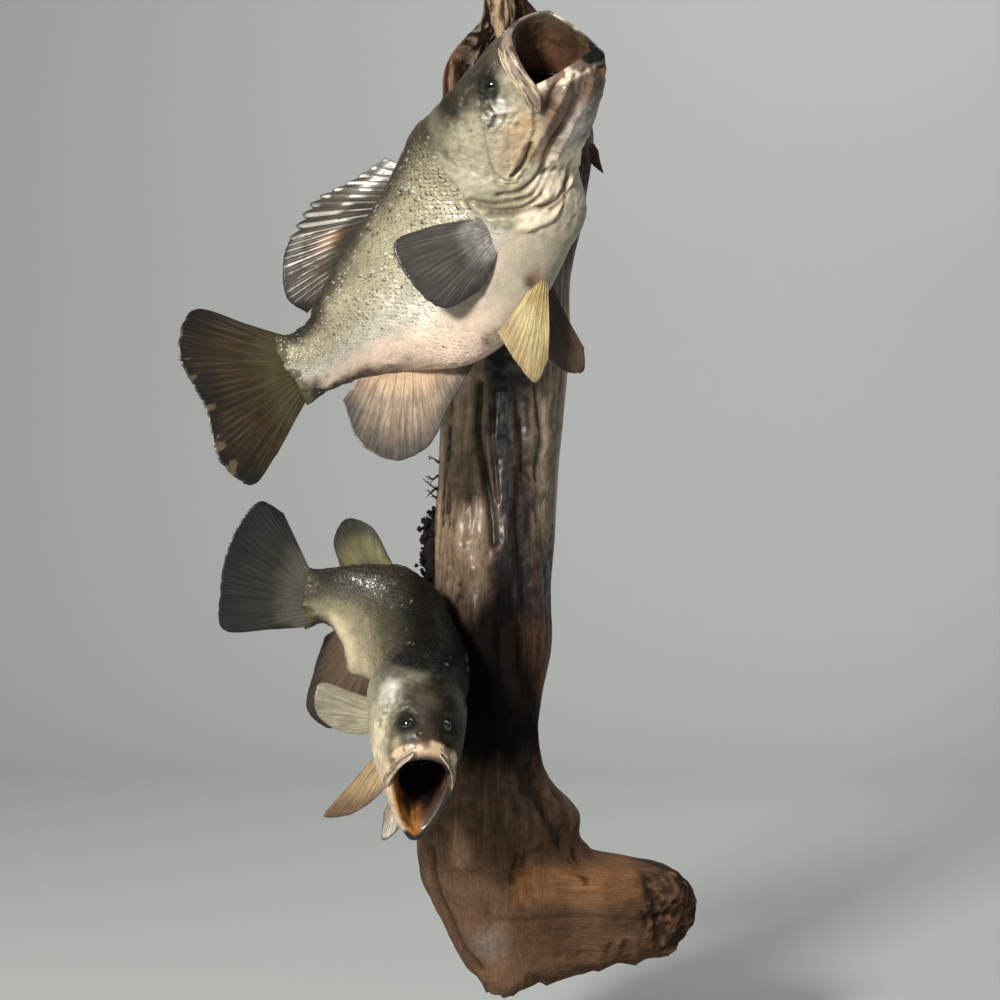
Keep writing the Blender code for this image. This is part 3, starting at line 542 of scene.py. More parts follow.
def outward(rings):
    """Unit normals of a tube of rings, pointing out of the closed body."""
    ahead = np.gradient(rings, axis=0)
    around = np.roll(rings, -1, axis=1) - np.roll(rings, 1, axis=1)
    normal = np.cross(around, ahead)
    return normal / np.maximum(np.linalg.norm(normal, axis=2, keepdims=True), 1e-9)


def lattice(cell, seed):
    """A repeatable value from 0 to 1 for each whole-number place."""
    n = (cell[..., 0] * 73856093) ^ (cell[..., 1] * 19349663) ^ (cell[..., 2] * 83492791) ^ (seed * 40503)
    n = (n ^ (n >> 13)) * 1274126177
    n = n ^ (n >> 16)
    return (n & 0xFFFF) / 65535


def noise(points, size, seed=0):
    """Smooth random values from -1 to 1. The size of a bump is one number, or one an axis."""
    points = np.asarray(points, float) / size
    base = np.floor(points).astype(np.int64)
    part = points - base
    part = part * part * (3 - 2 * part)
    total = np.zeros(points.shape[:-1])
    for corner in itertools.product((0, 1), repeat=3):
        weight = np.prod(np.where(corner, part, 1 - part), axis=-1)
        total += weight * lattice(base + np.array(corner), seed)
    return 2 * total - 1


def fractal(points, size, octaves=4, seed=0):
    """Noise added up over finer and finer bumps, from about -1 to 1."""
    size = np.asarray(size, float)
    return sum(noise(points, size / 2**i, seed + i) / 2**i for i in range(octaves)) * 0.6


def smooth(value, low, high):
    """0 below low and 1 above high, with a soft change between them."""
    share = np.clip((np.asarray(value, float) - low) / (high - low), 0, 1)
    return share * share * (3 - 2 * share)


def bell(distance, width):
    return np.exp(-(distance / width) ** 2)


def veins(points, size, octaves, seed, sharp=2.5):
    """1 on a net of thin lines, lower between them."""
    return 1 - sharp * np.abs(fractal(points, size, octaves, seed))


def mix(one, other, share):
    """Between two colours, or two arrays of them."""
    return np.asarray(one) + (np.asarray(other) - np.asarray(one)) * np.asarray(share)[..., None]


def layered(colour, *layers):
    """A colour with others laid over it in turn: a hex code or values, and how much of it."""
    for tone, share in layers:
        colour = mix(colour, linear(tone) if isinstance(tone, str) else tone, share)
    return colour


def distance_to(line, points):
    """Distance of points from a smooth line, in as many axes as they have."""
    path = along(line, 5 * len(line))
    nearest = np.full(points.shape[:-1], np.inf)
    for start, stop in zip(path[:-1], path[1:]):
        move = stop - start
        share = np.clip(((points - start) @ move) / (move @ move), 0, 1)
        nearest = np.minimum(nearest, np.linalg.norm(points - start - share[..., None] * move, axis=-1))
    return nearest


def add_mesh(name, vertices, faces, surface, colours=None, values=None):
    """A mesh in metres with its colours and values a point, riding on the mount."""
    mesh = bpy.data.meshes.new(name)
    mesh.from_pydata((np.asarray(vertices) * MM).tolist(), [], faces)
    edit = bmesh.new()
    edit.from_mesh(mesh)
    bmesh.ops.recalc_face_normals(edit, faces=edit.faces)
    edit.to_mesh(mesh)
    edit.free()
    mesh.shade_smooth()
    mesh.materials.append(surface)
    if colours is not None:
        marking = mesh.color_attributes.new("Marking", "FLOAT_COLOR", "POINT")
        rows = np.concatenate([np.asarray(colours).reshape(-1, 3), np.ones((len(mesh.vertices), 1))], axis=1)
        marking.data.foreach_set("color", rows.astype(np.float32).ravel())
    for label, numbers in (values or {}).items():
        attribute = mesh.attributes.new(label, "FLOAT", "POINT")
        attribute.data.foreach_set("value", np.asarray(numbers, np.float32).ravel())
    obj = bpy.data.objects.new(name, mesh)
    bpy.context.scene.collection.objects.link(obj)
    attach(obj, "root")
    return obj


def tube_faces(rows, count, first=0):
    """Quads of a tube of rings, and a fan at each end to the two points after them."""
    faces = []
    for i in range(rows - 1):
        for j in range(count):
            k = (j + 1) % count
            a = first + i * count
            faces.append((a + j, a + k, a + count + k, a + count + j))
    cap = first + rows * count
    for j in range(count):
        k = (j + 1) % count
        faces.append((first + k, first + j, cap))
        faces.append((cap - count + j, cap - count + k, cap + 1))
    return faces


def closed_tube(rings):
    """Vertices and faces of a tube of rings closed at both ends."""
    middles = np.array([rings[0].mean(axis=0), rings[-1].mean(axis=0)])
    return np.concatenate([rings.reshape(-1, 3), middles]), tube_faces(*rings.shape[:2])


def strand(points, radii, sides=6):
    """Rings of a round strand through the points, with a radius at each."""
    points = np.asarray(points, float)
    tangents = np.gradient(points, axis=0)
    rings = []
    for point, tangent, radius in zip(points, tangents, radii):
        tangent = unit(tangent)
        side = unit(np.cross(tangent, (0.31, 0.94, 0.17)))
        other = np.cross(tangent, side)
        angles = np.linspace(0, 2 * math.pi, sides, endpoint=False)[:, None]
        rings.append(point + (side * np.cos(angles) + other * np.sin(angles)) * radius)
    return np.array(rings)


def add_bodies(name, bodies, surface, colours=None):
    """Many closed bodies as one mesh, with a colour for each of their points where given."""
    faces = []
    count = 0
    for body_vertices, body_faces in bodies:
        faces += [tuple(v + count for v in face) for face in body_faces]
        count += len(body_vertices)
    if colours:
        colours = np.concatenate(colours)
    return add_mesh(name, np.concatenate([body[0] for body in bodies]), faces, surface, colours)


def border(index):
    """The numbers round the edge of a grid, in order."""
    return np.concatenate([index[0], index[1:, -1], index[-1, -2::-1], index[-2:0:-1, 0]]).tolist()


def add_node(tree, kind, inputs=None, **settings):
    """A shader node with its settings; an input is a value or the socket that feeds it."""
    made = tree.nodes.new(kind)
    for key, value in settings.items():
        setattr(made, key, value)
    for key, value in (inputs or {}).items():
        if isinstance(value, bpy.types.NodeSocket):
            tree.links.new(value, made.inputs[key])
        else:
            made.inputs[key].default_value = value
    return made


def principled(name, roughness, specular=0.5, coat=0.0, coat_roughness=0.1):
    """A new material with its tree and shader."""
    surface = bpy.data.materials.new(name)
    surface.use_nodes = True
    shader = surface.node_tree.nodes["Principled BSDF"]
    shader.inputs["Roughness"].default_value = roughness
    shader.inputs["Specular IOR Level"].default_value = specular
    shader.inputs["Coat Weight"].default_value = coat
    shader.inputs["Coat Roughness"].default_value = coat_roughness
    return surface, surface.node_tree, shader


def attribute(tree, name, output="Fac"):
    """The values or colours that a mesh carries at its points."""
    return add_node(tree, "ShaderNodeAttribute", attribute_name=name).outputs[output]


def plain(tree, code):
    """One even colour as a socket."""
    colour = add_node(tree, "ShaderNodeRGB").outputs["Color"]
    colour.default_value = (*linear(code), 1)
    return colour


def pattern(tree, size, detail, stretch=(1, 1, 1), **settings):
    """Noise on Object coordinates, whose size in millimetres is a real one."""
    place_on = add_node(tree, "ShaderNodeTexCoord")
    mapping = add_node(tree, "ShaderNodeMapping", {"Vector": place_on.outputs["Object"], "Scale": stretch})
    inputs = {"Vector": mapping.outputs["Vector"], "Scale": 1 / (size * MM), "Detail": detail, **settings}
    return add_node(tree, "ShaderNodeTexNoise", inputs).outputs["Fac"]


def ranged(tree, value, low, high, start=0.0, stop=1.0):
    """A value between start and stop made to run from low to high."""
    inputs = {"Value": value, "From Min": start, "From Max": stop, "To Min": low, "To Max": high}
    return add_node(tree, "ShaderNodeMapRange", inputs).outputs["Result"]


def mottled(tree, colour, *marks):
    """A colour made lighter and darker by patterns around one half, each with its amount."""
    for mark, amount in marks:
        factor = ranged(tree, mark, 1 - amount, 1 + amount)
        product = add_node(tree, "ShaderNodeVectorMath", {0: colour, 1: factor}, operation="MULTIPLY")
        colour = product.outputs["Vector"]
    return colour


def bump(tree, height, depth):
    """A bump of a real depth in millimetres."""
    inputs = {"Height": height, "Distance": depth * MM, "Strength": 1.0}
    return add_node(tree, "ShaderNodeBump", inputs).outputs["Normal"]


def feed(tree, shader, sockets):
    """Link each of the shader's named inputs."""
    for key, value in sockets.items():
        tree.links.new(value, shader.inputs[key])


def skin_material():
    """Fish skin, dried, painted and varnished: a clear gloss over mottled colour and fine creases."""
    surface, tree, shader = principled("Varnished fish skin", 0.42, 0.4, 0.3, 0.14)
    silver = attribute(tree, "Silver")
    cloud = pattern(tree, 7, 5.0)
    speck = pattern(tree, 1.3, 3.0)
    crease = pattern(tree, 2.2, 6.0, Roughness=0.65)
    feed(tree, shader, {
        "Base Color": mottled(tree, attribute(tree, "Marking", "Color"), (cloud, 0.25), (speck, 0.3)),
        "Metallic": silver,
        "Coat Weight": ranged(tree, silver, 0.0, 1.0, DULL),
        "Specular IOR Level": ranged(tree, silver, 0.05, 0.4, DULL, 0.0),
        "Roughness": ranged(tree, cloud, 0.28, 0.55),
        "Normal": bump(tree, crease, 0.35),
    })
    return surface


def fin_material():
    """Dry fin web, stretched and varnished: thin, streaked along the rays, a little see-through."""
    surface, tree, shader = principled("Dried fin web", 0.42, 0.4, 0.25, 0.2)
    cloud = pattern(tree, 9, 5.0)
    speck = pattern(tree, 1.1, 3.0)
    feed(tree, shader, {
        "Base Color": mottled(tree, attribute(tree, "Marking", "Color"), (cloud, 0.3), (speck, 0.3)),
        "Metallic": attribute(tree, "Silver"),
        "Normal": bump(tree, speck, 0.3),
    })
    shader.inputs["Subsurface Weight"].default_value = 0.12
    shader.inputs["Subsurface Radius"].default_value = (0.004, 0.003, 0.002)
    shader.inputs["Subsurface Scale"].default_value = 1.0
    return surface


def bone_material():
    """Jaw bone under thin dry skin: dull cream with brown streaks."""
    surface, tree, shader = principled("Jaw bone", 0.55, 0.4, 0.15, 0.3)
    cloud = pattern(tree, 3.5, 5.0)
    colour = mottled(tree, attribute(tree, "Marking", "Color"), (cloud, 0.4))
    feed(tree, shader, {"Base Color": colour, "Normal": bump(tree, cloud, 0.6)})
    return surface


def eye_material():
    """Dark glass taxidermy eye: a black pupil and a grey green iris under a clear dome."""
    surface, tree, shader = principled("Eye glass", 0.05, 0.5, 1.0, 0.02)
    ramp = add_node(tree, "ShaderNodeValToRGB", {"Fac": attribute(tree, "Turn")})
    stops = ramp.color_ramp.elements
    stops[0].color = (*linear("#050505"), 1)
    stops[1].color = (*linear("#1b1c17"), 1)
    for where, code in EYE_STOPS:
        stops.new(where).color = (*linear(code), 1)
    fleck = pattern(tree, 1.0, 3.0)
    feed(tree, shader, {"Base Color": mottled(tree, ramp.outputs["Color"], (fleck, 0.4))})
    return surface


def tooth_material():
    """Small brush teeth: dull ivory."""
    surface, tree, shader = principled("Fish teeth", 0.4, 0.5, 0.3)
    fleck = pattern(tree, 2.0, 2.0)
    feed(tree, shader, {"Base Color": mottled(tree, plain(tree, "#7d6448"), (fleck, 0.3))})
    return surface


def wood_material():
    """Driftwood: soft parts worn away between hard grain, varnished on the trunk, bare at the foot."""
    surface, tree, shader = principled("Weathered driftwood", 0.6, 0.25, 0.0, 0.34)
    varnish = attribute(tree, "Varnish")
    upright = pattern(tree, 2.4, 6.0, (1, 1, 0.07), Roughness=0.6)
    level = pattern(tree, 2.4, 6.0, (0.07, 1, 1), Roughness=0.6)
    grain = add_node(tree, "ShaderNodeMix", {0: attribute(tree, "Cross"), 2: upright, 3: level}).outputs[0]
    cloud = pattern(tree, 24, 6.0)
    pit = pattern(tree, 1.6, 4.0)
    marking = attribute(tree, "Marking", "Color")
    height = add_node(tree, "ShaderNodeMath", {0: grain, 1: pit}, operation="ADD").outputs["Value"]
    feed(tree, shader, {
        "Base Color": mottled(tree, marking, (grain, 0.75), (cloud, 0.35), (pit, 0.3)),
        "Roughness": ranged(tree, varnish, 0.9, 0.5),
        "Specular IOR Level": ranged(tree, varnish, 0.1, 0.35),
        "Coat Weight": ranged(tree, varnish, 0.0, 0.6),
        "Normal": bump(tree, height, 0.9),
    })
    return surface


def root_material():
    """Dry black rootlets and moss: dull and fibrous."""
    surface, tree, shader = principled("Dry rootlets", 0.85, 0.25)
    fibre = pattern(tree, 1.2, 4.0)
    colour = mottled(tree, plain(tree, "#120d0b"), (fibre, 0.7))
    feed(tree, shader, {"Base Color": colour, "Normal": bump(tree, fibre, 0.5)})
    return surface


def paint_material(colour):
    """Matt wall paint."""
    surface, tree, shader = principled("Matt paint", 0.9, 0.2)
    shader.inputs["Base Color"].default_value = (*colour, 1)
    feed(tree, shader, {"Normal": bump(tree, pattern(tree, 3.0, 2.0), 0.05)})
    return surface


def made(name, maker, *values):
    """A material by name, made the first time that it is asked for."""
    return bpy.data.materials.get(name) or maker(*values)


def plate(table, ahead, up, height):
    """A plate in front of its free edge, high at the edge and fading forward."""
    levels = [row[0] for row in table]
    edge = np.interp(up, levels, [row[1] for row in table])
    inside = ahead - edge
    front = height * np.exp(-np.maximum(inside, 0) / 35)
    behind = -0.35 * height * np.exp(np.minimum(inside, 0) / 6)
    lift = behind + (front - behind) * smooth(inside, -0.9, 0.9)
    return lift * np.clip((levels[-1] + 3 - up) / 6, 0, 1)


def head_lines(fish, spot, weight):
    """Depth of the lines on a head and the brown painted shade in them, the same on its two sides."""
    local = np.stack([spot[0], spot[1], np.abs(spot[2])], axis=-1) / fish.head_size
    near = local[..., 0] > -170
    points = local[near]
    depth = np.zeros(near.shape)
    crease_shade = np.zeros(near.shape)
    for line, deep, width, brown in HEAD_LINES:
        field = bell(distance_to(line, points), width)
        depth[near] += deep * field
        crease_shade[near] = np.maximum(crease_shade[near], brown * field)
    return depth * fish.head_size * weight, crease_shade * weight


def relief(fish, base, spot):
    """How far each point is raised or pressed in, how much brown painted shade it gets in creases and
    hollows, and the crests that get painted glints.
    """
    ahead, up, side = spot
    size = fish.head_size
    x = ahead / size
    y = up / size
    on_head = smooth(x, -172, -150)
    pressed, crease_shade = head_lines(fish, spot, fish.line_weight)
    lift = plate(fish.gill, ahead, up, fish.plate) + plate(fish.cheek, ahead, up, fish.plate / 2) - pressed
    head_frame = axes(*fish.head)
    eye_x, eye_y, eye_z = fish.eye
    for hand in (1, -1):
        eye = place(head_frame, (eye_x, eye_y, eye_z * hand))
        gap = np.linalg.norm(base - eye, axis=-1) - fish.eye_radius
        brow = 0.5 + 0.9 * smooth(up - eye_y, -2, 8)
        lift = lift + 0.5 * size * fish.line_weight * brow * bell(gap - 0.8, 2.4)
        for nose_x, nose_y, nose_z in fish.nostrils:
            gap = np.linalg.norm(base - place(head_frame, (nose_x, nose_y, nose_z * hand)), axis=-1)
            lift = lift - 3.4 * bell(gap, 2.2) + 1.0 * bell(gap - 3.4, 1.1)
    lumps = around_places(x, y, SILVER_LUMPS)
    crumple = veins(base, 9, 3, 14, 2.2)
    lift = lift + 2.2 * size * fish.line_weight * lumps * crumple
    fine = fractal(base, 3.6, 3, 12)
    creased = veins(base, 8, 3, 17)
    lift = lift + on_head * (1.1 * fractal(base, 16, 4, 11) + 0.5 * fine + 0.7 * creased) * size
    lift = lift + (0.6 * fractal(base, 30, 2, 13) + 0.5 * fractal(base, 10, 3, 19)) * (1 - on_head)
    under = smooth(x, -106, -90) * smooth(-y, 44, 58)
    strands = veins(np.stack([0.16 * ahead, up, side], axis=-1), 8, 3, 18, 2.6)
    lift = lift + 1.1 * under * strands * size
    # Painted shade: brown darkening in the hollows of the fine relief and between the strands under the jaw.
    hollows = smooth(-fine, 0.10, 0.45) * 0.35 + smooth(-creased, 0.1, 1.0) * 0.35
    crease_shade = np.maximum(crease_shade, on_head * hollows)
    crease_shade = np.maximum(crease_shade, 0.35 * under * smooth(-strands, 0.0, 1.0))
    flecks = 0.7 * smooth(fine, 0.2, 0.5) * np.clip(around_places(x, y, FLECKED), 0, 1)
    crest = on_head * (flecks + smooth(crumple, 0.4, 0.8) * np.clip(lumps, 0, 1))
    return lift, crease_shade, np.clip(crest, 0, 1)


def around_places(x, y, places):
    """Soft round fields added up: place, reach and strength of each."""
    return sum(strength * bell(np.hypot(x - at_x, y - at_y), reach) for at_x, at_y, reach, strength in places)


def fish_surface(fish, settings, count):
    """The dense skin from the tail to the lips, with what each point is on the fish."""
    keys = []
    for axis_frame, row in zip(spine_frames(fish), fish.spine):
        above, below, width, powers = row[2:]
        keys.append(ring(axis_frame, (0, above), (0, 0, width, 0), (0, -below), powers, count))
    head_frame = axes(*fish.head)
    since = len(keys) - 1
    keys += [ring(head_frame, *row, count) for row in fish.rings]
    base = sweep(keys, settings.body_step, settings.head_step, since)
    offset = base - head_frame[0]
    spot = (offset @ head_frame[1], offset @ head_frame[2], offset @ head_frame[3])
    centres = base.mean(axis=1)
    travel = np.concatenate([[0], np.cumsum(np.linalg.norm(np.diff(centres, axis=0), axis=1))])
    travel = np.broadcast_to(travel[:, None], base.shape[:2])
    rounding = np.broadcast_to(1 - np.abs(1 - 2 * np.arange(count) / count), base.shape[:2])
    to_rim = travel[-1] - travel
    lift, crease_shade, crest = relief(fish, base, spot)
    stalk = 1 - smooth(travel, 120, 170)
    rough_back = smooth(0.16 - rounding, 0, 0.08) + smooth(rounding, 0.93, 0.98)
    lift = lift + stalk * rough_back * 2.4 * fish.head_size * np.maximum(fractal(base, 6, 3, 15), -0.2)
    lip = fish.head_size * (fish.lip + 0.8 * smooth(rounding, 0.5, 0.62)) * bell(to_rim - 4, 3.2)
    lip = lip + 2.4 * fish.head_size * smooth(rounding, 0.90, 0.97) * bell(to_rim - 6, 6)
    knobs = (0.4 * fish.lip + smooth(rounding, 0.5, 0.6)) * bell(to_rim - 5, 5)
    knobs = knobs * 1.5 * fractal(base, 5, 3, 16)
    lift = lift * smooth(to_rim, 0, 14) + (lip + knobs * fish.head_size) * smooth(to_rim, 0, 3)
    skin = base + outward(base) * lift[:, :, None]
    tail_end = unit(base[0].mean(axis=0) - base[3].mean(axis=0))
    skin = skin + tail_end * (9 * fractal(base, 11, 3, 20) * (1 - smooth(travel, 0, 22)))[..., None]
    return SimpleNamespace(
        skin=skin, normal=outward(skin), spot=spot, travel=travel, rounding=rounding,
        to_rim=to_rim, crease_shade=crease_shade, crest=crest, head_frame=head_frame)


def mouth_surface(fish, settings, rim_ring):
    """Rings from the lips to the gullet, with soft folds in the palate and floor."""
    count = len(rim_ring)
    head_frame = axes(*fish.head)
    rows = [ring(head_frame, *row, count) for row in fish.mouth]
    rings = sweep([rim_ring] + rows, 1.3 * settings.head_step)
    depth = np.linspace(0, 1, len(rings))[:, None]
    angle = np.arange(count) / count
    pleat = np.sin(2 * math.pi * (9 * angle + 0.4 * np.sin(4 * math.pi * angle)))[None, :]
    lift = 0.9 * pleat * smooth(depth, 0.1, 0.4) * (1 - 0.5 * smooth(depth, 0.6, 1.0))
    lift = lift + 2.4 * fractal(rings, 20, 4, 21) * smooth(depth, 0.03, 0.15)
    lift = lift + 0.8 * veins(rings, 16, 3, 22) * smooth(depth, 0.03, 0.1)
    return rings + outward(rings) * (lift * fish.head_size)[:, :, None], depth


def paint(fish, points, spot, rounding, travel):
    """Colour and silver of the outer skin at each point, the same for skin and scales."""
    tones = {name: linear(code) for name, code in fish.colours.items()}
    ahead, up, side = spot
    x = ahead / fish.head_size
    y = up / fish.head_size
    cloud = fractal(points, 30, 4, 31)
    fine = fractal(points, 7, 3, 32)
    profile = (1 - np.cos(math.pi * rounding)) / 2
    level = rounding + 0.05 * cloud + 0.03 * fine
    stalk = 1 - smooth(travel, 60, 130)
    seam = bell(profile + 0.06 * cloud + 0.05 * fine, 0.13) + bell(1 - profile + 0.06 * fine, 0.06)
    seam = seam + smooth(profile, 0.66, 0.86) * (1 - smooth(travel + 8 * fine, 12, 30))
    colour = layered(
        tones["back"],
        (tones["flank"], smooth(level, *fish.back_share)),
        (tones["low"], smooth(level, 0.44, 0.60)),
        (tones["belly"], smooth(level, 0.60, 0.76)),
        (tones["breast"], smooth(x, -230, -190) * smooth(level, 0.62, 0.78)),
        ("#2b2419", np.clip(0.95 * stalk * seam, 0, 1)),
        ("#45422a", 0.85 * (1 - smooth(travel + 5 * fine, 3, 8))))
    silver = 0.22 * bell(level - 0.48, 0.2) * smooth(fine, -0.3, 0.5)

    edge = np.interp(up, [row[0] for row in fish.gill], [row[1] for row in fish.gill])
    over = np.maximum(up - fish.gill[-1][0], 0)
    on_cover = smooth((ahead - edge - fish.nape * over) / (1.2 + 0.7 * over), -1, 1)
    crown = 1 - smooth(rounding + 0.04 * cloud + 0.03 * fine, *fish.crown_share)
    on_crown = smooth(x, -112, -78)
    head = layered(
        tones["cover"],
        (tones["crown"], crown * on_crown),
        (tones["back"], 0.8 * crown * (1 - on_crown)),
        (tones["cheek"], 0.5 * bell(np.hypot(x + 75, (y + 30) * 1.2), 26)),
        (tones["throat"], smooth(-y + 6 * cloud, 40, 54) * (1 - smooth(x, -95, -70))),
        (tones["jaw"], smooth(x, -92, -66) * smooth(-y + 0.25 * (x + 60), 42, 54)))
    colour = mix(colour, np.clip(head, 0, 1), on_cover)
    silver = silver * (1 - on_cover) + 0.12 * on_cover * smooth(fine, 0, 0.5)
    in_front = smooth(-points[..., 1], 120, 150)
    # Marks on the body, among them a painted shadow of the pectoral fin.
    for (at_x, at_z), reach, code, strength in fish.marks:
        field = bell(np.hypot(points[..., 0] - at_x, points[..., 2] - at_z) + 1.5 * fine, reach)
        colour = mix(colour, linear(code), strength * field * in_front)
    # Painted shade: the smaller fish's left side, toward +X, is painted near black and dull.
    shade = fish.painted_shade_side * smooth(-side + 7 * cloud, -3 - 16 * (1 - on_cover), 9)
    colour = mix(colour, linear("#15110c"), shade) * (1 + 0.16 * cloud + 0.16 * fine)[..., None]
    silver = silver * (1 - shade) + DULL * shade
    return np.clip(colour, 0, 1), np.clip(silver, DULL, 1)


def paint_patches(fish, local, ragged, fine, lit, colour, silver):
    """Patches of colour on a head: soft ones, and hard ones of full strength."""
    for centre, reach, code, strength in fish.patches:
        soft = strength < 1
        brightness = sum(linear(code))
        gap = np.linalg.norm(local[..., :len(centre)] - centre, axis=-1)
        gap = gap * (1 + (0.3 if soft else 0.1) * ragged)
        field = bell(gap, reach) if soft else 1 - smooth(gap, 0.75 * reach, reach)
        field = field * (lit if brightness > 0.4 else 1)
        colour = mix(colour, linear(code), strength * field)
        if brightness > 1.4:
            silver = silver + 0.4 * strength * field * smooth(fine, -0.3, 0.3)
    return colour, silver


def paint_head(fish, body, colour, silver):
    """The skin's marks: lines and hollows darkened with painted shade, patches, painted glints on the crests,
    a painted shade ring round each eye, and lips.
    """
    size = fish.head_size
    local = np.stack([body.spot[0], body.spot[1], np.abs(body.spot[2])], axis=-1) / size
    # This falls to 0 on the smaller fish's painted shade side, which keeps bright patches and painted glints
    # off it.
    lit = 1 - fish.painted_shade_side * smooth(-body.spot[2], -8, 6)
    fine = fractal(body.skin, 6, 3, 34)
    blotch = fractal(body.skin, 9, 3, 35)
    colour, silver = paint_patches(fish, local, fine + blotch, fine, lit, colour, silver)
    # Painted glints on the crests of the crinkled skin, in colour and in metal.
    silver = silver + 0.4 * body.crest * lit
    upper = (1 - smooth(body.rounding, 0.38, 0.46)) * (1 - smooth(body.to_rim + 2 * blotch, 3, 7))
    lower = smooth(body.rounding, 0.42, 0.52)
    lip = 1 - smooth(body.to_rim + 2 * blotch, 6 * size, 10 * size)
    lip = lip * np.maximum(lower, fish.lip)
    lip_colour = mix(linear(fish.colours["lip"]), linear("#5e4433"), 0.85 * smooth(blotch, 0.0, 0.3))
    chin = smooth(local[..., 0], -10, -5) * smooth(-local[..., 1], 62, 70)
    # A near black ring round each eye: painted shade of the socket, left dull.
    around_eye = np.linalg.norm(local - np.array(fish.eye) / size, axis=-1) * size
    socket_shade = bell(np.maximum(around_eye - fish.eye_radius - 0.5, 0), 3.4)
    colour = layered(
        colour,
        (linear(fish.colours["glint"]), 0.5 * body.crest * lit),
        # Brown painted shade in the creases and hollows.
        (linear(fish.colours["hollow"]), 0.85 * body.crease_shade),
        ("#33251a", 0.85 * upper * (1 - fish.lip)),
        (lip_colour, lip * (1 - chin)),
        ("#1d1d17", 0.9 * socket_shade))
    dull = np.clip(body.crease_shade + socket_shade, 0, 1)
    silver = silver * (1 - lip) * (1 - dull) + DULL * dull
    return np.clip(colour, 0, 1), np.clip(silver, DULL, 0.7)


def paint_mouth(fish, settings, rings, depth):
    """Olive brown at the rim, brown behind it and nearly black in the gullet, the black a painted shade of
    the deep mouth.
    """
    spots = fractal(rings, 12, 4, 41)
    streaks = fractal(rings, 5, 3, 42)
    around = np.arange(rings.shape[1]) / rings.shape[1]
    near, far = (0.02, 0.22) if fish.amber else (0.36, 0.74)
    deep = smooth(depth + 0.12 * spots - 0.25 * fish.amber * bell(around - 0.5, 0.14), near, far)
    chin = np.clip(1.4 * bell(around - 0.5, 0.055), 0, 1) * (1 - smooth(depth, 0.07, 0.13))
    amber = smooth(depth, 0.01, 0.06) * (1 - smooth(depth + 0.08 * spots, 0.34, 0.52))
    amber = amber * smooth(around, 0.25, 0.32) * (1 - smooth(around, 0.49, 0.57)) * smooth(spots, -0.6, 0.0)
    colour = layered(
        settings.rim,
        (settings.palate, smooth(depth + 0.12 * spots, 0.08, 0.30)),
        (settings.deep, deep),
        ("#0a0807", chin),
        ("#a56a2c", 0.85 * fish.amber * amber))
    return np.clip(colour * (1 + 0.3 * spots + 0.3 * streaks)[..., None], 0, 1)


def build_skin(fish, settings, count, nodes):
    """One closed skin from the tail over the lips and down the mouth."""
    body = fish_surface(fish, settings, count)
    inner, depth = mouth_surface(fish, settings, body.skin[-1])
    colour, silver = paint(fish, body.skin, body.spot, body.rounding, body.travel)
    colour, silver = paint_head(fish, body, colour, silver)
    depth = np.broadcast_to(depth, inner.shape[:2])
    inside = paint_mouth(fish, settings, inner, depth)
    inside = mix(np.broadcast_to(colour[-1], inside.shape), inside, smooth(depth, 0, 0.06))
    rings = np.concatenate([body.skin, inner[1:]])
    colours = np.concatenate([colour, inside[1:]])
    silvers = np.concatenate([silver, np.zeros(inner[1:].shape[:2])])
    vertices, faces = closed_tube(rings)
    colours = np.concatenate([colours.reshape(-1, 3), [colours[0].mean(axis=0), colours[-1].mean(axis=0)]])
    silvers = np.concatenate([silvers.ravel(), [0, 0]])
    surface = made("Varnished fish skin", skin_material)
    skin = add_mesh(fish.name + "_skin", vertices, faces, surface, colours, {"Silver": silvers})
    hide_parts(*nodes)
    return skin


def sample(grid, row, column):
    """Values of a grid of rings at fractional rows and columns; columns wrap round."""
    rows, count = grid.shape[:2]
    row = np.clip(row, 0, rows - 1.001)
    i = np.floor(row).astype(int)
    column = np.mod(column, count)
    j = np.floor(column).astype(int)
    u = (row - i)[..., None]
    v = (column - j)[..., None]
    k = (j + 1) % count
    return ((grid[i, j % count] * (1 - v) + grid[i, k] * v) * (1 - u)
            + (grid[i + 1, j % count] * (1 - v) + grid[i + 1, k] * v) * u)


def scale_plan(fish, body, generator):
    """Row, column, size and tilts of the scales, from the tail to the head."""
    rows, count = body.skin.shape[:2]
    edges = np.linalg.norm(np.roll(body.skin, -1, axis=1) - body.skin, axis=2)
    girth = edges.sum(axis=1)
    travel = body.travel[:, 0]
    plan = []
    distance = 5.0 * fish.head_size
    line = 0
    while distance < travel[-1]:
        row = np.interp(distance, travel, np.arange(rows))
        pitch = max(0.84 * girth[int(row)] / fish.scale_rows, 2.4)
        start = 0.5 if line % 2 else 0.0
        for k in range(fish.scale_rows):
            column = (k + start + generator.uniform(-0.2, 0.2)) * count / fish.scale_rows
            at_row = row + generator.uniform(-0.25, 0.25)
            plan.append((at_row, column, pitch * generator.uniform(0.85, 1.15)))
        distance += pitch * 0.86
        line += 1
    plan = np.array(plan)
    offset = sample(body.skin, plan[:, 0], plan[:, 1]) - body.head_frame[0]
    ahead = offset @ body.head_frame[1]
    up = offset @ body.head_frame[2]
    gill = np.interp(up, [row[0] for row in fish.gill], [row[1] for row in fish.gill])
    behind = ahead < gill - 2.5 + fish.nape * np.maximum(up - fish.gill[-1][0], 0)
    level = 1 - np.abs(1 - 2 * plan[:, 1] / count)
    low = level + generator.uniform(-0.04, 0.04, len(level)) > 0.64
    plan = plan[behind & ~((ahead > -225 * fish.head_size) & low)]
    return plan, generator.normal(0, 1, (len(plan), 3))


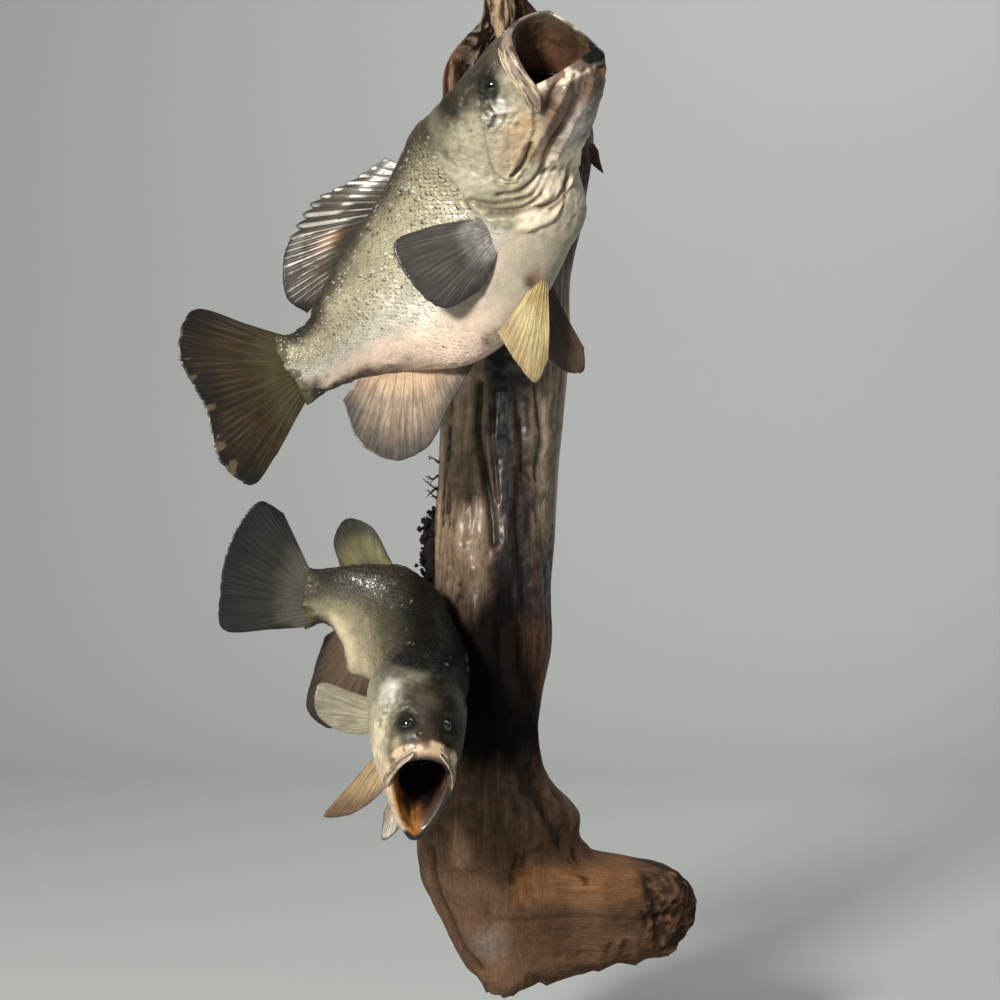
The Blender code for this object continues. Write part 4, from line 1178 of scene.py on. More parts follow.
def scale_faces(total):
    """Quads over each scale, and a fan from its rim to the point under it."""
    wide = SCALE_ACROSS + 1
    under = (SCALE_ALONG + 1) * wide
    faces = []
    for i in range(SCALE_ALONG):
        for j in range(SCALE_ACROSS):
            first = i * wide + j
            faces.append((first, first + 1, first + wide + 1, first + wide))
    rim = border(np.arange(under).reshape(-1, wide))
    faces += [(second, first, under) for first, second in zip(rim, rim[1:] + rim[:1])]
    return [tuple(v + k * (under + 1) for v in face) for k in range(total) for face in faces]


def paint_scales(fish, settings, body, scales, chance):
    """The skin's colours on each scale, with dark dashes, painted glints, and painted shade at the covered
    root that leaves the free edge lighter.
    """
    rows, count = body.skin.shape[:2]
    a, b, tilt, flat = scales.a[None], scales.b[None], scales.tilt, scales.flat
    middle = SCALE_MIDDLE
    offset = scales.surface - body.head_frame[0]
    spot = tuple(offset @ axis for axis in body.head_frame[1:])
    rounding = 1 - np.abs(1 - 2 * scales.column / count)
    travel = np.interp(scales.row, np.arange(rows), body.travel[:, 0])
    centres = np.broadcast_to(scales.surface[:, middle:middle + 1, middle:middle + 1], scales.surface.shape)
    colour, silver = paint(fish, centres, spot, rounding, travel)
    level = rounding[:, middle, middle]
    from_tail = travel[:, middle, middle]
    spread = bell(level - 0.32, 0.20) * smooth(from_tail, 10, 50)
    dashed = (chance[0] < fish.dashes * spread)[:, None, None]
    mark = dashed * bell(a - 0.3 * tilt[2], 0.75) * smooth(b, 0.50, 0.72)
    # Random tone, and painted shade: each scale is darker at its root under the scale before it and lighter
    # at its free edge.
    light = 1 + 0.07 * tilt[2] * flat + 0.16 * flat * (b - 0.5)
    # Painted highlights: near white glints on some scales, most on the upper flank and at the root of the
    # tail.
    at_root = bell(from_tail - 20, 18) * bell(level - 0.48, 0.24)
    bright = fish.glints * (smooth(level, 0.08, 0.25) * (1 - 0.7 * smooth(level, 0.45, 0.62)) + 2.2 * at_root)
    shining = (chance[1] < bright)[:, None, None] * smooth(b, 0.3, 0.8) * bell(a - 0.4 * tilt[1], 0.7)
    colour = layered(
        colour * light[..., None],
        (linear(fish.colours["glint"]), 0.5 * shining),
        (np.array(settings.dash), 0.92 * mark))
    return colour, np.clip(silver + 0.4 * shining, DULL, 0.7)


def add_bake_map(coat, scales, rows, count, per_row):
    """A map with a small patch for each scale, at its root's place on an unwrap of the skin."""
    root_v = (scales.plan[:, 0] + 0.7 * scales.plan[:, 2] / per_row) / rows
    root = np.stack([scales.plan[:, 1] / count, root_v], axis=1)
    local = np.stack([scales.a.ravel() / 2, scales.b.ravel() - 0.5], axis=1) * BAKE_PATCH
    local = np.concatenate([local, [(0, 0)]])
    places = root[:, None] * 0.98 + 0.01 + local[None]
    index = np.empty(len(coat.data.loops), np.int32)
    coat.data.loops.foreach_get("vertex_index", index)
    bake = coat.data.uv_layers.new(name="OFBake")
    bake.data.foreach_set("uv", places.reshape(-1, 2)[index].astype(np.float32).ravel())


def build_scales(fish, settings, body, side, name, seed):
    """Overlapping scales on one side as one mesh: each a thin closed shell, free at its rear."""
    generator = np.random.default_rng(seed)
    plan, tilt = scale_plan(fish, body, generator)
    rows, count = body.skin.shape[:2]
    on_right = plan[:, 1] / count < 0.5
    keep = on_right if side > 0 else ~on_right
    plan = plan[keep]
    tilt = tilt[keep].T[:, :, None, None]
    total = len(plan)
    per_row = np.gradient(body.travel[:, 0])[np.clip(plan[:, 0].astype(int), 0, rows - 1)]
    a, b = np.meshgrid(np.linspace(-1, 1, SCALE_ACROSS + 1), np.linspace(0, 1, SCALE_ALONG + 1))
    wide = a * 0.70 * np.sqrt(np.clip(1 - ((b - 0.4) / 0.66) ** 2, 0.05, 1))
    long = 0.75 - 1.60 * b + 0.22 * b * a**2
    at_row, at_column, pitch = plan.T[:, :, None, None]
    turn = 0.16 * tilt[0]
    row = at_row + (long + turn * wide) * pitch / per_row[:, None, None]
    column = at_column + (wide - turn * long) * count / fish.scale_rows
    surface = sample(body.skin, row, column)
    normal = sample(body.normal, row, column)
    flat = 1 - 0.75 * smooth(1 - np.abs(1 - 2 * at_column / count), 0.50, 0.72)
    lift = settings.scale_lift * fish.head_size ** 0.5 * flat
    height = -0.35 + (lift + 0.35) * b ** 0.8 - 0.30 * lift * a**2 * b
    height = height + lift * 0.45 * tilt[0] * a * b + lift * 0.6 * np.clip(tilt[1], -1.3, 2) * b
    top = surface + normal * height[..., None]
    below = (slice(None), SCALE_ALONG // 2 + 1, SCALE_ACROSS // 2)
    bottom = surface[below] - normal[below] * 0.6
    vertices = np.concatenate([top.reshape(total, -1, 3), bottom[:, None]], axis=1)

    scales = SimpleNamespace(
        plan=plan, a=a, b=b, tilt=tilt, flat=flat, surface=surface, row=row, column=column)
    colour, silver = paint_scales(fish, settings, body, scales, generator.random((2, total)))
    under = colour[:, SCALE_MIDDLE, SCALE_MIDDLE][:, None]
    colours = np.concatenate([colour.reshape(total, -1, 3), under], axis=1)
    silvers = np.concatenate([silver.reshape(total, -1), np.zeros((total, 1))], axis=1)
    coat = add_mesh(
        name, vertices.reshape(-1, 3), scale_faces(total), made("Varnished fish skin", skin_material),
        np.clip(colours, 0, 1).reshape(-1, 3), {"Silver": silvers})
    add_bake_map(coat, scales, rows, count, per_row)
    return coat


def build_maxilla(fish, hand, name):
    """The flat bone along one side of the upper jaw, with the thin bone on its upper edge."""
    head_frame = axes(*fish.head)
    rows, sides = 60, 28
    colours = []
    bodies = []
    for shift, scale, thick, codes in (
            ((0, 0, 0), 1.0, 0.26, ("#c3b49a", "#827262")),
            ((-3.5, 5.5, -1.2), 0.42, 0.34, ("#d8c9aa", "#a08b6e"))):
        middles = along([row[0] for row in fish.maxilla], rows) * (1, 1, hand)
        middles = middles + np.array(shift) * (fish.head_size, fish.head_size, fish.head_size * hand)
        widths = np.interp(np.linspace(0, 1, rows), np.linspace(0, 1, len(fish.maxilla)),
                           [row[1] for row in fish.maxilla]) * scale
        ends = np.minimum(np.linspace(0, 9, rows), np.linspace(6, 0.02, rows))
        widths = widths * np.sqrt(np.clip(ends, 0, 1))
        tangents = np.gradient(middles, axis=0)
        rings = []
        for middle, tangent, width in zip(middles, tangents, widths):
            tangent = unit(tangent)
            face = np.array([0.35, 0.0, hand])
            face = unit(face - tangent * np.dot(face, tangent))
            across = np.cross(tangent, face)
            angles = np.linspace(0, 2 * math.pi, sides, endpoint=False)[:, None]
            thickness = thick * widths.max()
            outline = middle + across * width * np.cos(angles) + face * thickness * np.sin(angles) * (
                0.75 + 0.35 * np.cos(angles) ** 2)
            rings.append(place(head_frame, outline))
        rings = np.array(rings)
        grid = np.meshgrid(np.arange(rows) * 0.12, np.arange(sides) * 0.9, [float(hand)], indexing="ij")
        grid = np.stack(grid, axis=-1)[:, :, 0]
        fibres = fractal(grid, 1.0, 3, 51)
        rough = 0.35 * fractal(rings, 6, 3, 51) + 0.5 * fibres
        rings = rings + outward(rings) * rough[..., None] * fish.head_size
        bodies.append(closed_tube(rings))
        edge = np.abs(np.cos(np.linspace(0, 2 * math.pi, sides, endpoint=False)))
        shade = mix(linear(codes[1]), linear(codes[0]), smooth(edge + 0.9 * fibres, 0.40, 0.95))
        shade = mix(shade, linear("#4a372a"), 0.85 * smooth(-fibres, 0.12, 0.45))
        colours += [shade.reshape(-1, 3), np.array([linear(codes[0])] * 2)]
    return add_bodies(name, bodies, made("Jaw bone", bone_material), colours)


def build_teeth(fish, name, seed):
    """Bands of brush teeth just inside both jaws."""
    generator = np.random.default_rng(seed)
    count = 240
    head_frame = axes(*fish.head)
    rim = ring(head_frame, *fish.mouth[0], count)
    inside = ring(head_frame, *fish.mouth[1], count)
    centre = rim.mean(axis=0)
    bodies = []
    for i in range(count):
        share = i / count
        if min(abs(share - 0.25), abs(share - 0.75)) < 0.03:
            continue
        for depth in (0.25, 0.6, 0.95):
            root = rim[i] + (inside[i] - rim[i]) * (depth + generator.uniform(-0.12, 0.12))
            point = unit(centre - root + head_frame[1] * -12 + generator.normal(0, 6, 3))
            size = fish.head_size * generator.uniform(0.4, 0.8)
            rings = strand([root - point * 0.8, root + point * 0.7 * size, root + point * 1.7 * size],
                           (0.5 * size, 0.36 * size, 0.08), 4)
            bodies.append(closed_tube(rings))
    return add_bodies(name, bodies, made("Fish teeth", tooth_material))


def build_gullet(fish, name, seed):
    """Gill arches with their rakers, and in the larger fish the tongue on the floor of the mouth."""
    generator = np.random.default_rng(seed)
    head_frame = axes(*fish.head)
    size = fish.head_size
    steps = 22
    bodies = []
    colours = []
    for hand in (1, -1):
        for k in range(4):
            back = fish.arches - 9 * k
            line = np.array([(back + 16, -70, 4), (back + 6, -60, 20 - 2 * k), (back, -42, 24 - 3 * k),
                             (back + 4, -26, 16 - 2 * k), (back + 10, -20, 5)], float) * (1, 1, hand) * size
            points = place(head_frame, along(line, steps))
            bodies.append(closed_tube(strand(points, np.full(steps, 1.8 * size), 8)))
            # Arches, rakers and tongue are near black brown: painted shade of the deep mouth.
            colours.append(np.tile(linear("#1c0d0a"), (len(bodies[-1][0]), 1)))
            for root in points[2:20]:
                inward = unit(points.mean(axis=0) - root)
                toward = unit(head_frame[1] + 0.6 * inward + generator.normal(0, 0.08, 3))
                length = size * generator.uniform(3.5, 5.5)
                raker = strand([root, root + toward * length * 0.6, root + toward * length],
                               (0.8 * size, 0.55 * size, 0.15 * size), 5)
                bodies.append(closed_tube(raker))
                colours.append(np.tile(linear("#3f261c"), (len(bodies[-1][0]), 1)))
    if not fish.amber:
        rows, sides = 26, 20
        tip = fish.arches + 29
        line = np.array([(-80, -60, 0), (tip - 33, -66, 0), (tip - 13, -69, 0), (tip, -70, 0)], float)
        tongue = along(line * size, rows)
        wide = np.interp(np.linspace(0, 1, rows), [0, 0.5, 0.85, 1], [10, 9, 6, 0.8]) * size
        angles = np.linspace(0, 2 * math.pi, sides, endpoint=False)
        rings = np.array([
            place(head_frame, np.stack([np.full(sides, middle[0]), middle[1] + 0.36 * half * np.sin(angles),
                                        half * np.cos(angles)], axis=1))
            for middle, half in zip(tongue, wide)])
        bodies.append(closed_tube(rings))
        colours.append(np.tile(linear("#2c1710"), (len(bodies[-1][0]), 1)))
    return add_bodies(name, bodies, made("Jaw bone", bone_material), colours)


def build_eye(fish, hand, name, node=None):
    """A glass eye: a fine sphere that knows how far each point is turned from the gaze."""
    head_frame = axes(*fish.head)
    centre = place(head_frame, (fish.eye[0], fish.eye[1], fish.eye[2] * hand))
    bpy.ops.object.select_all(action="DESELECT")
    bpy.ops.mesh.primitive_uv_sphere_add(
        segments=64, ring_count=40, radius=fish.eye_radius * MM, location=tuple(centre * MM))
    obj = bpy.context.active_object
    bpy.ops.object.transform_apply(location=True, rotation=True, scale=True)
    obj.name = name
    obj.data.name = name
    gaze = unit(place(head_frame, (0.30, 0.22, hand)) - head_frame[0])
    points = np.empty(len(obj.data.vertices) * 3, np.float32)
    obj.data.vertices.foreach_get("co", points)
    turn = unit_rows(points.reshape(-1, 3) / MM - centre) @ gaze
    turned = obj.data.attributes.new("Turn", "FLOAT", "POINT")
    turned.data.foreach_set("value", (np.arccos(np.clip(turn, -1, 1)) / math.pi).astype(np.float32))
    obj.data.shade_smooth()
    obj.data.materials.append(made("Eye glass", eye_material))
    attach(obj, "root")
    if node:
        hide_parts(node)
    return obj


def build_fin(name, shape, settings, seed, node=None):
    """A dried fin as one closed sheet: rays that branch, ragged web, waves, sunk root."""
    per_ray = settings.ray_columns
    columns = (shape["rays"] - 1) * per_ray + 1
    rows = settings.rows
    root = along(shape["root"], columns)
    edge = along(shape["edge"], columns)
    place_on = np.arange(columns) / per_ray
    phase = np.abs(place_on - np.round(place_on))
    ragged = noise(np.stack([place_on * 1.7, np.full(columns, seed), np.zeros(columns)], axis=1), 1.0, seed)
    fray = noise(np.stack([place_on * 6.1, np.full(columns, seed), np.ones(columns)], axis=1), 1.0, seed + 1)
    reach = 1 - shape["notch"] * (2 * phase) ** 1.4 - 0.006 * np.abs(ragged)
    reach = reach - 0.010 * np.maximum(fray - 0.2, 0)
    edge = root + (edge - root) * reach[:, None]
    own = unit_rows(edge - root)
    inward = own + 3 * unit(own.sum(axis=0))
    root = root - unit_rows(inward) * shape["sunk"]
    share = np.linspace(0, 1, rows)
    grid = root[:, None] + (edge - root)[:, None] * share[None, :, None]
    middle = columns // 2
    facing = unit(np.cross(edge[middle] - root[middle], root[-1] - root[0]))
    grid = grid + facing * (shape["belly"] * np.sin(math.pi * share))[None, :, None]
    flat = np.stack(np.broadcast_arrays(place_on[:, None] / 3.0, share[None, :] * 2.0, float(seed)), axis=-1)
    wave = settings.wave * noise(flat, 1.0, seed + 2) * smooth(share, 0.25, 1.0)[None, :]
    grid = grid + facing * wave[..., None]
    normal = unit_rows(np.cross(np.gradient(grid, axis=0), np.gradient(grid, axis=1)))

    phase = phase[:, None]
    share_row = share[None, :]
    if shape["spiny"]:
        ridge = bell(phase, 0.10 - 0.04 * share_row)
    else:
        first = 0.25 * smooth(share_row, 0.25, 0.75)
        second = 0.125 * smooth(share_row, 0.60, 0.98)
        ridge = np.maximum(bell(phase - first - second, 0.055), bell(phase - first + second, 0.055))
    thick = settings.ray_root + (settings.ray_tip - settings.ray_root) * share_row
    depth = settings.web + (thick - settings.web) * ridge
    half = normal * depth[:, :, None] / 2
    vertices = np.concatenate([(grid + half).reshape(-1, 3), (grid - half).reshape(-1, 3)])
    back = columns * rows
    faces = []
    for i in range(columns - 1):
        for j in range(rows - 1):
            a = i * rows + j
            faces.append((a, a + rows, a + rows + 1, a + 1))
            faces.append((back + a, back + a + 1, back + a + rows + 1, back + a + rows))
    loop = border(np.arange(back).reshape(columns, rows).T)
    faces += [(b, a, back + a, back + b) for a, b in zip(loop, loop[1:] + loop[:1])]

    at_root, at_middle, at_margin, streak = (linear(code) for code in shape["colours"])
    cloud = fractal(grid, 14, 3, seed + 5)
    dust = fractal(grid, 4, 3, seed + 6)
    colour = mix(at_root, at_middle, smooth(share_row + 0.1 * cloud, 0.2, 0.5))
    colour = mix(colour, at_margin, smooth(share_row + 0.12 * cloud, 0.55, 0.95))
    streaked = 0.55 * ridge * (1 - 0.5 * smooth(share_row, 0.5, 1.0))
    streaked = streaked * (0.6 + 0.6 * noise(flat * 3, 1.0, seed + 7))
    colour = mix(colour, streak, np.clip(streaked, 0, 1))
    threads = np.broadcast_arrays(place_on[:, None] * 7 + 0.8 * dust, share_row * 3.0, float(seed))
    fibres = fractal(np.stack(threads, axis=-1), 1.0, 3, seed + 11) * smooth(share_row, 0.15, 0.4)
    colour = colour * (1 + 0.55 * fibres)[..., None]
    across = place_on[:, None] / (shape["rays"] - 1)
    for spot_across, spot_share, reach, code in shape.get("spots", ()):
        field = bell(np.hypot(across - spot_across, share_row - spot_share) + 0.06 * dust, reach)
        colour = mix(colour, linear(code), 0.7 * field)
    # Painted sheen: near white silver bands beside the rays, and glints near the root of a fin that asks for
    # them, in colour and in metal.
    signed = (place_on - np.round(place_on))[:, None]
    band = smooth(signed, 0.05, 0.13) * (1 - smooth(signed, 0.28, 0.42)) + 0.5 * ridge
    band = band * smooth(noise(flat * (2, 1.4, 1), 1.0, seed + 8) + 0.5 * dust, -0.45, 0.2)
    painted_sheen = np.interp(across, (0, 0.5, 1), shape.get("painted_sheen", (0, 0, 0))) * band
    painted_sheen = painted_sheen * smooth(share_row + 0.1 * cloud, 0.28, 0.46) * (1 - 0.7 * smooth(share_row, 0.90, 1.0))
    painted_root_glint = shape.get("painted_root_glint", 0) * (1 - smooth(share_row + 0.1 * dust, 0.15, 0.45))
    painted_sheen = painted_sheen + painted_root_glint * smooth(dust, 0, 0.25)
    painted_sheen = np.clip(painted_sheen, 0, 1)
    colour = mix(colour, linear("#e4e1d8"), 0.9 * painted_sheen)
    torn = np.stack([place_on * 1.6, np.full(columns, seed), np.full(columns, 3.0)], axis=1)
    torn = noise(torn, 1.0, seed + 9)
    chips = shape.get("chips", 0) * smooth(torn, 0.47, 0.57)[:, None]
    chips = chips * smooth(share_row + 0.08 * dust + 0.04 * torn[:, None], 0.94, 0.97)
    chips = chips * smooth(dust, -0.3, 0.0)
    colour = mix(colour, linear("#77664a"), np.clip(chips, 0, 1))
    sides_dark = smooth(np.abs(2 * across - 1) + 0.04 * dust, 0.90, 1.0) * shape.get("border", 0)
    edge_dark = np.maximum(smooth(share_row + 0.02 * dust, 0.95, 0.99), sides_dark) * (1 - chips)
    colour = mix(colour, np.array(at_margin) * 0.45, 0.7 * np.clip(edge_dark, 0, 1))
    colour = colour * (1 + 0.22 * cloud + 0.16 * dust)[..., None]
    colours = np.concatenate([colour.reshape(-1, 3)] * 2)
    silvers = {"Silver": np.tile(0.6 * painted_sheen.ravel(), 2)}
    fin = add_mesh(name, vertices, faces, made("Dried fin web", fin_material),
                   np.clip(colours, 0, 1), silvers)
    if node:
        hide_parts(node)
    return fin


def wood_base(settings):
    """Smooth rings of the driftwood, and its flat back."""
    table = np.array(WOOD_SLICES, float)
    drop = table[0, 0] - table[:, 0]
    rows = spline(table, drop, np.linspace(0, drop[-1], settings.levels))
    tilt = math.asin(WOOD_WAIST / (1 - WOOD_WAIST))
    angles = np.linspace(-tilt, math.pi + tilt, settings.around)
    backs = settings.around // 6
    height, left, right, depth = (rows[:, i:i + 1] for i in range(4))
    x = (left + right) / 2 + (right - left) / 2 * np.cos(angles)[None]
    y = -depth * (WOOD_WAIST + (1 - WOOD_WAIST) * np.sin(angles))[None]
    share = np.linspace(0, 1, backs + 2)[1:-1][None]
    back_x = x[:, -1:] + (x[:, :1] - x[:, -1:]) * share
    x = np.concatenate([x, back_x], axis=1)
    y = np.concatenate([y, np.zeros_like(back_x)], axis=1)
    z = np.broadcast_to(height, x.shape)
    front = np.concatenate([np.ones(settings.around), np.zeros(backs)])
    return np.stack([x, y, z], axis=2), np.broadcast_to(front, x.shape)


def build_driftwood(settings):
    """The driftwood with its grain, grooves, knots, rotted end and hollow arch."""
    base, front = wood_base(settings)
    x, z = base[..., 0], base[..., 2]
    normal = outward(base)
    facing = smooth(-normal[..., 1], -0.1, 0.5) * front
    cross = smooth(x, 20, 70) * smooth(-z, 335, 365)
    upright = fractal(base, (7, 7, 120), 4, 61)
    level = fractal(base, (120, 7, 7), 4, 62)
    grain = upright + (level - upright) * cross
    coarse = fractal(base, (26, 26, 90), 3, 63)
    fine = fractal(base, 5, 3, 64)
    lift = settings.grain * grain + 3.4 * coarse + 0.8 * fine
    carve = np.zeros(x.shape)
    face = np.stack([x, z], axis=-1)
    for line, depth, width in GROOVES:
        carve += depth * bell(distance_to(line, face), width)
    for (at_x, at_z), height, width in SWELLINGS:
        lift = lift + height * bell(np.hypot(x - at_x, z - at_z), width) * facing
    rot = smooth(x + 9 * fractal(base, 18, 3, 65) - 0.5 * np.maximum(-392 - z, 0), 130, 136)
    rot = rot * smooth(-z, 328, 338)
    crumbs = fractal(base, 6, 4, 66)
    lift = lift + rot * (4.2 * crumbs - 1.5)
    arch_x, arch_z = -14.0, 372.0
    inner = np.hypot((x - arch_x) / 34, (z - arch_z) / 118)
    at_arch = smooth(z, 345, 380) * (x < 10) * front
    hollow = (1 - smooth(inner, 0.80, 1.0)) * at_arch
    streaks = fractal(base, (4, 4, 60), 3, 67)
    carve += hollow * (16 + 8 * streaks)
    under = smooth(-z - 0.27 * (160 - x), 395, 415) * smooth(x, -10, 20)
    jagged = 5 * noise(base, (12, 40, 40), 68) + 4 * noise(base, (4.5, 30, 30), 69)
    ragged = np.maximum(smooth(-z, 452, 470), under) * jagged
    lift = lift * (0.25 + 0.75 * facing) - carve * facing
    rings = base + normal * lift[..., None]
    rings[..., 2] += ragged
    rings[..., 1] = np.minimum(rings[..., 1], 0)

    streak = smooth(grain, -0.05, 0.35)
    tone = np.clip(0.30 + 1.1 * coarse + 0.5 * streak + 0.6 * fine, 0, 1)
    # The pale wood turns lighter from z 10 to 70: painted light, brightening the trunk under the larger fish.
    weathered = mix(settings.pale[:], linear("#b09a80"), smooth(z, 10, 70))
    pale = smooth(-x + 14 * coarse, 4, 20) * smooth(z, -120, -30) * (1 - smooth(z, 150, 260))
    pale = pale * (0.6 + 0.4 * streak) * smooth(0.4 * fine + coarse + upright, -0.8, -0.2)
    tan = smooth(x + 8 * coarse, 24, 38) * smooth(z, -70, 0) * (1 - smooth(z, 200, 260))
    # A near black band down the upper trunk: dark wood with the painted shadow of the larger fish.
    middle = bell(x - 6 - 8 * coarse + 0.04 * z, 12 + 6 * smooth(z, 0, 80)) * smooth(z, -150, -60)
    red = smooth(x, 4, 30) * smooth(-z, 100, 130) * (1 - smooth(-z, 175, 230))
    # A near black painted shadow of the smaller fish on the trunk, kept free of varnish.
    shade = smooth(-z + 1.1 * x, 40, 100) * (1 - smooth(-z + 0.3 * x + 20 * coarse, 225, 280))
    shade = shade * (1 - smooth(x - 0.25 * (-z - 150), 18, 36)) * front
    ankle = smooth(-z + 20 * coarse, 232, 275) * (1 - smooth(-z, 315, 345))
    foot = smooth(-z + 8 * coarse, 300, 345)
    dusty = smooth(-x, 0, 45) * smooth(0.3 * fine + 1.4 * coarse + upright, -0.5, 0.3)
    earth = mix(settings.foot, settings.brown, np.clip(0.5 + 0.9 * coarse + 0.5 * fine, 0, 1))
    earth = mix(earth, linear("#7d6a58"), 0.25 * dusty * (1 - smooth(-z, 380, 430)))
    band = foot * smooth(x + 8 * fine + 6 * coarse, 4, 18) * (1 - smooth(x + 6 * fine, 126, 134))
    band = band * smooth(-z - 3 * grain, 338, 350) * (1 - smooth(-z + 6 * fine + 4 * coarse, 372, 388))
    rim = smooth(inner, 0.60, 0.86) * at_arch
    edge = mix(linear("#33231a"), linear("#7d6350"), smooth(streaks, -0.1, 0.25))
    stripes = mix(linear("#140d09"), linear("#96836d"), smooth(streaks, 0.02, 0.2))
    rotten = mix(linear("#2d140c"), linear("#6f4830"), smooth(fine, -0.1, 0.3))
    # Darker the deeper a groove is cut: painted shade in the grooves.
    groove_shade = np.clip(carve / 6, 0, 1) * (1 - hollow) * facing
    wet = bell(np.hypot(x + 10, z + 425) - 4, 12) * foot
    colour = layered(
        mix(settings.dark, settings.brown, tone),
        (weathered, 0.95 * pale),
        ("#9c8b74", 0.85 * tan * (0.45 + 0.55 * streak)),
        ("#0c0806", 0.92 * middle),
        ("#6b4a30", 0.8 * red * (0.4 + 0.6 * streak)),
        ("#070403", 0.95 * shade),
        ("#6d5642", 0.8 * ankle * (0.5 + 0.5 * streak)),
        (earth, foot),
        (settings.rust, 0.9 * band * (0.5 + 0.5 * streak)),
        (mix(settings.rot, linear("#6a4f3c"), smooth(crumbs, -0.1, 0.35)), rot),
        (edge, 0.85 * rim * (1 - hollow)),
        (mix(stripes, rotten, smooth(-z, -425, -405)), hollow),
        ("#150e0b", 0.8 * groove_shade))
    colour = mix(colour * (1 + 0.35 * fine)[..., None], linear("#8a8580"), 0.35 * wet)
    varnish = (1 - foot) * (1 - rot) * (1 - hollow) * (1 - shade) * (1 - 0.8 * rim)
    varnish = varnish * (0.2 + 0.8 * smooth(z, -170, -60)) * (1 - smooth(z, 340, 380))
    varnish = np.maximum(varnish * (0.5 + 0.5 * smooth(coarse + fine, -0.3, 0.2)), 0.6 * wet)

    vertices, faces = closed_tube(rings)
    colours = np.concatenate([colour.reshape(-1, 3), [settings.brown[:], settings.foot[:]]])
    values = {
        "Varnish": np.append(varnish.ravel(), [0, 0]),
        "Cross": np.append(cross.ravel(), [0, 0]),
    }
    wood = add_mesh("driftwood_grain", vertices, faces, made("Weathered driftwood", wood_material),
                    np.clip(colours, 0, 1), values)
    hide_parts("driftwood")
    return wood


def build_limb(name, line, widths, colour, seed):
    """A rough broken limb: a thick strand with torn fibres."""
    count = 90
    points = along(line, count)
    radii = np.interp(np.linspace(0, 1, count), np.linspace(0, 1, len(widths)), widths)
    rings = strand(points, radii, 44)
    normal = outward(rings)
    torn = fractal(rings, (5, 5, 50), 4, seed) * 2.6 + fractal(rings, 14, 3, seed + 3) * 2.2
    rings = rings + normal * (torn * np.clip(radii / 8, 0.1, 1)[:, None])[..., None]
    tone = smooth(fractal(rings, (3, 3, 34), 3, seed + 1), -0.35, 0.25)
    colours = mix(np.array(linear("#3a2a20")), np.array(colour), tone)
    vertices, faces = closed_tube(rings)
    colours = np.concatenate([colours.reshape(-1, 3), colours[0, :1], colours[-1, :1]])
    values = {"Varnish": np.zeros(len(vertices)), "Cross": np.zeros(len(vertices))}
    surface = made("Weathered driftwood", wood_material)
    return add_mesh(name, vertices, faces, surface, colours, values)


def build_tuft(name, seed):
    """Dry rootlets and moss on the trunk's left edge: crumbly clumps and short tangled strands."""
    generator = np.random.default_rng(seed)
    bodies = []
    steps = 30
    core = along([(-62, -44, -14), (-66, -46, -36), (-66, -46, -60), (-62, -44, -90)], steps)
    radii = 7 * np.sin(math.pi * np.linspace(0.08, 0.94, steps)) + 1
    rings = strand(core, radii, 16)
    bodies.append(closed_tube(rings + outward(rings) * (3.2 * fractal(rings, 7, 3, seed))[..., None]))
    for _ in range(240):
        middle = core[generator.integers(0, steps)] + generator.normal(0, 1, 3) * (5.5, 3.5, 4.0)
        size = generator.uniform(1.0, 3.2)
        lump = strand(middle + np.array([(0, 0, -1), (0, 0, -0.5), (0, 0, 0), (0, 0, 0.6), (0, 0, 1)]) * size,
                      size * np.array((0.3, 0.8, 1.0, 0.8, 0.25)), 7)
        bodies.append(closed_tube(lump + generator.normal(0, 0.22 * size, lump.shape)))
    for _ in range(110):
        root = core[generator.integers(1, steps - 1)] + generator.normal(0, 3.0, 3)
        away = unit(np.array([-1.0, -0.55, generator.normal(0, 0.9)]) + generator.normal(0, 0.5, 3))
        length = generator.uniform(3, 10)
        bend = generator.normal(0, 2.6, 3)
        points = [root, root + away * length * 0.5 + bend * 0.6, root + away * length * 0.8 + bend,
                  root + away * length + bend * 0.2]
        size = generator.uniform(0.3, 0.7)
        bodies.append(closed_tube(strand(points, (size, size * 0.8, size * 0.6, 0.15), 5)))
    tuft = add_bodies(name, bodies, made("Dry rootlets", root_material))
    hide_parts("root_tuft")
    return tuft


def build_twigs(name, seed):
    """A few bare twigs and crumbs of bark higher up the same edge."""
    generator = np.random.default_rng(seed)
    bodies = []
    lines = [
        [(-56, -46, 6), (-64, -52, 12), (-74, -58, 20)],
        [(-57, -46, 2), (-63, -52, 3), (-70, -56, 10)],
        [(-57, -48, 34), (-64, -54, 40), (-70, -58, 42)],
        [(-60, -46, 24), (-66, -50, 20), (-69, -54, 24)],
        [(-58, -46, 14), (-66, -50, 8), (-72, -52, 2)],
    ]
    steps = 9
    for line in lines:
        points = along(line, steps)
        bodies.append(closed_tube(strand(points, np.linspace(1.3, 0.25, steps), 7)))
        for _ in range(9):
            root = points[generator.integers(1, steps - 1)]
            away = unit(generator.normal(0, 1, 3) + (-0.6, -0.3, 0))
            length = generator.uniform(2, 6)
            bodies.append(closed_tube(strand([root, root + away * length / 2, root + away * length],
                                             (0.5, 0.35, 0.08), 5)))
    return add_bodies(name, bodies, made("Dry rootlets", root_material))


class TROPHY_OT_skin(bpy.types.Operator):
    """Add the skin of both fish, from the tail over the lips and down the mouth"""
    bl_idname = "trophy.skin"
    bl_label = "Skin"

    def execute(self, context):
        settings = context.scene.trophy_fish
        count = settings.ring_points
        build_skin(BIG, settings, count, ("bass_head", "bass_torso", "bass_tail_stalk"))
        build_skin(SMALL, settings, round(count * SMALL.ring_share), ("small_bass",))
        return {"FINISHED"}


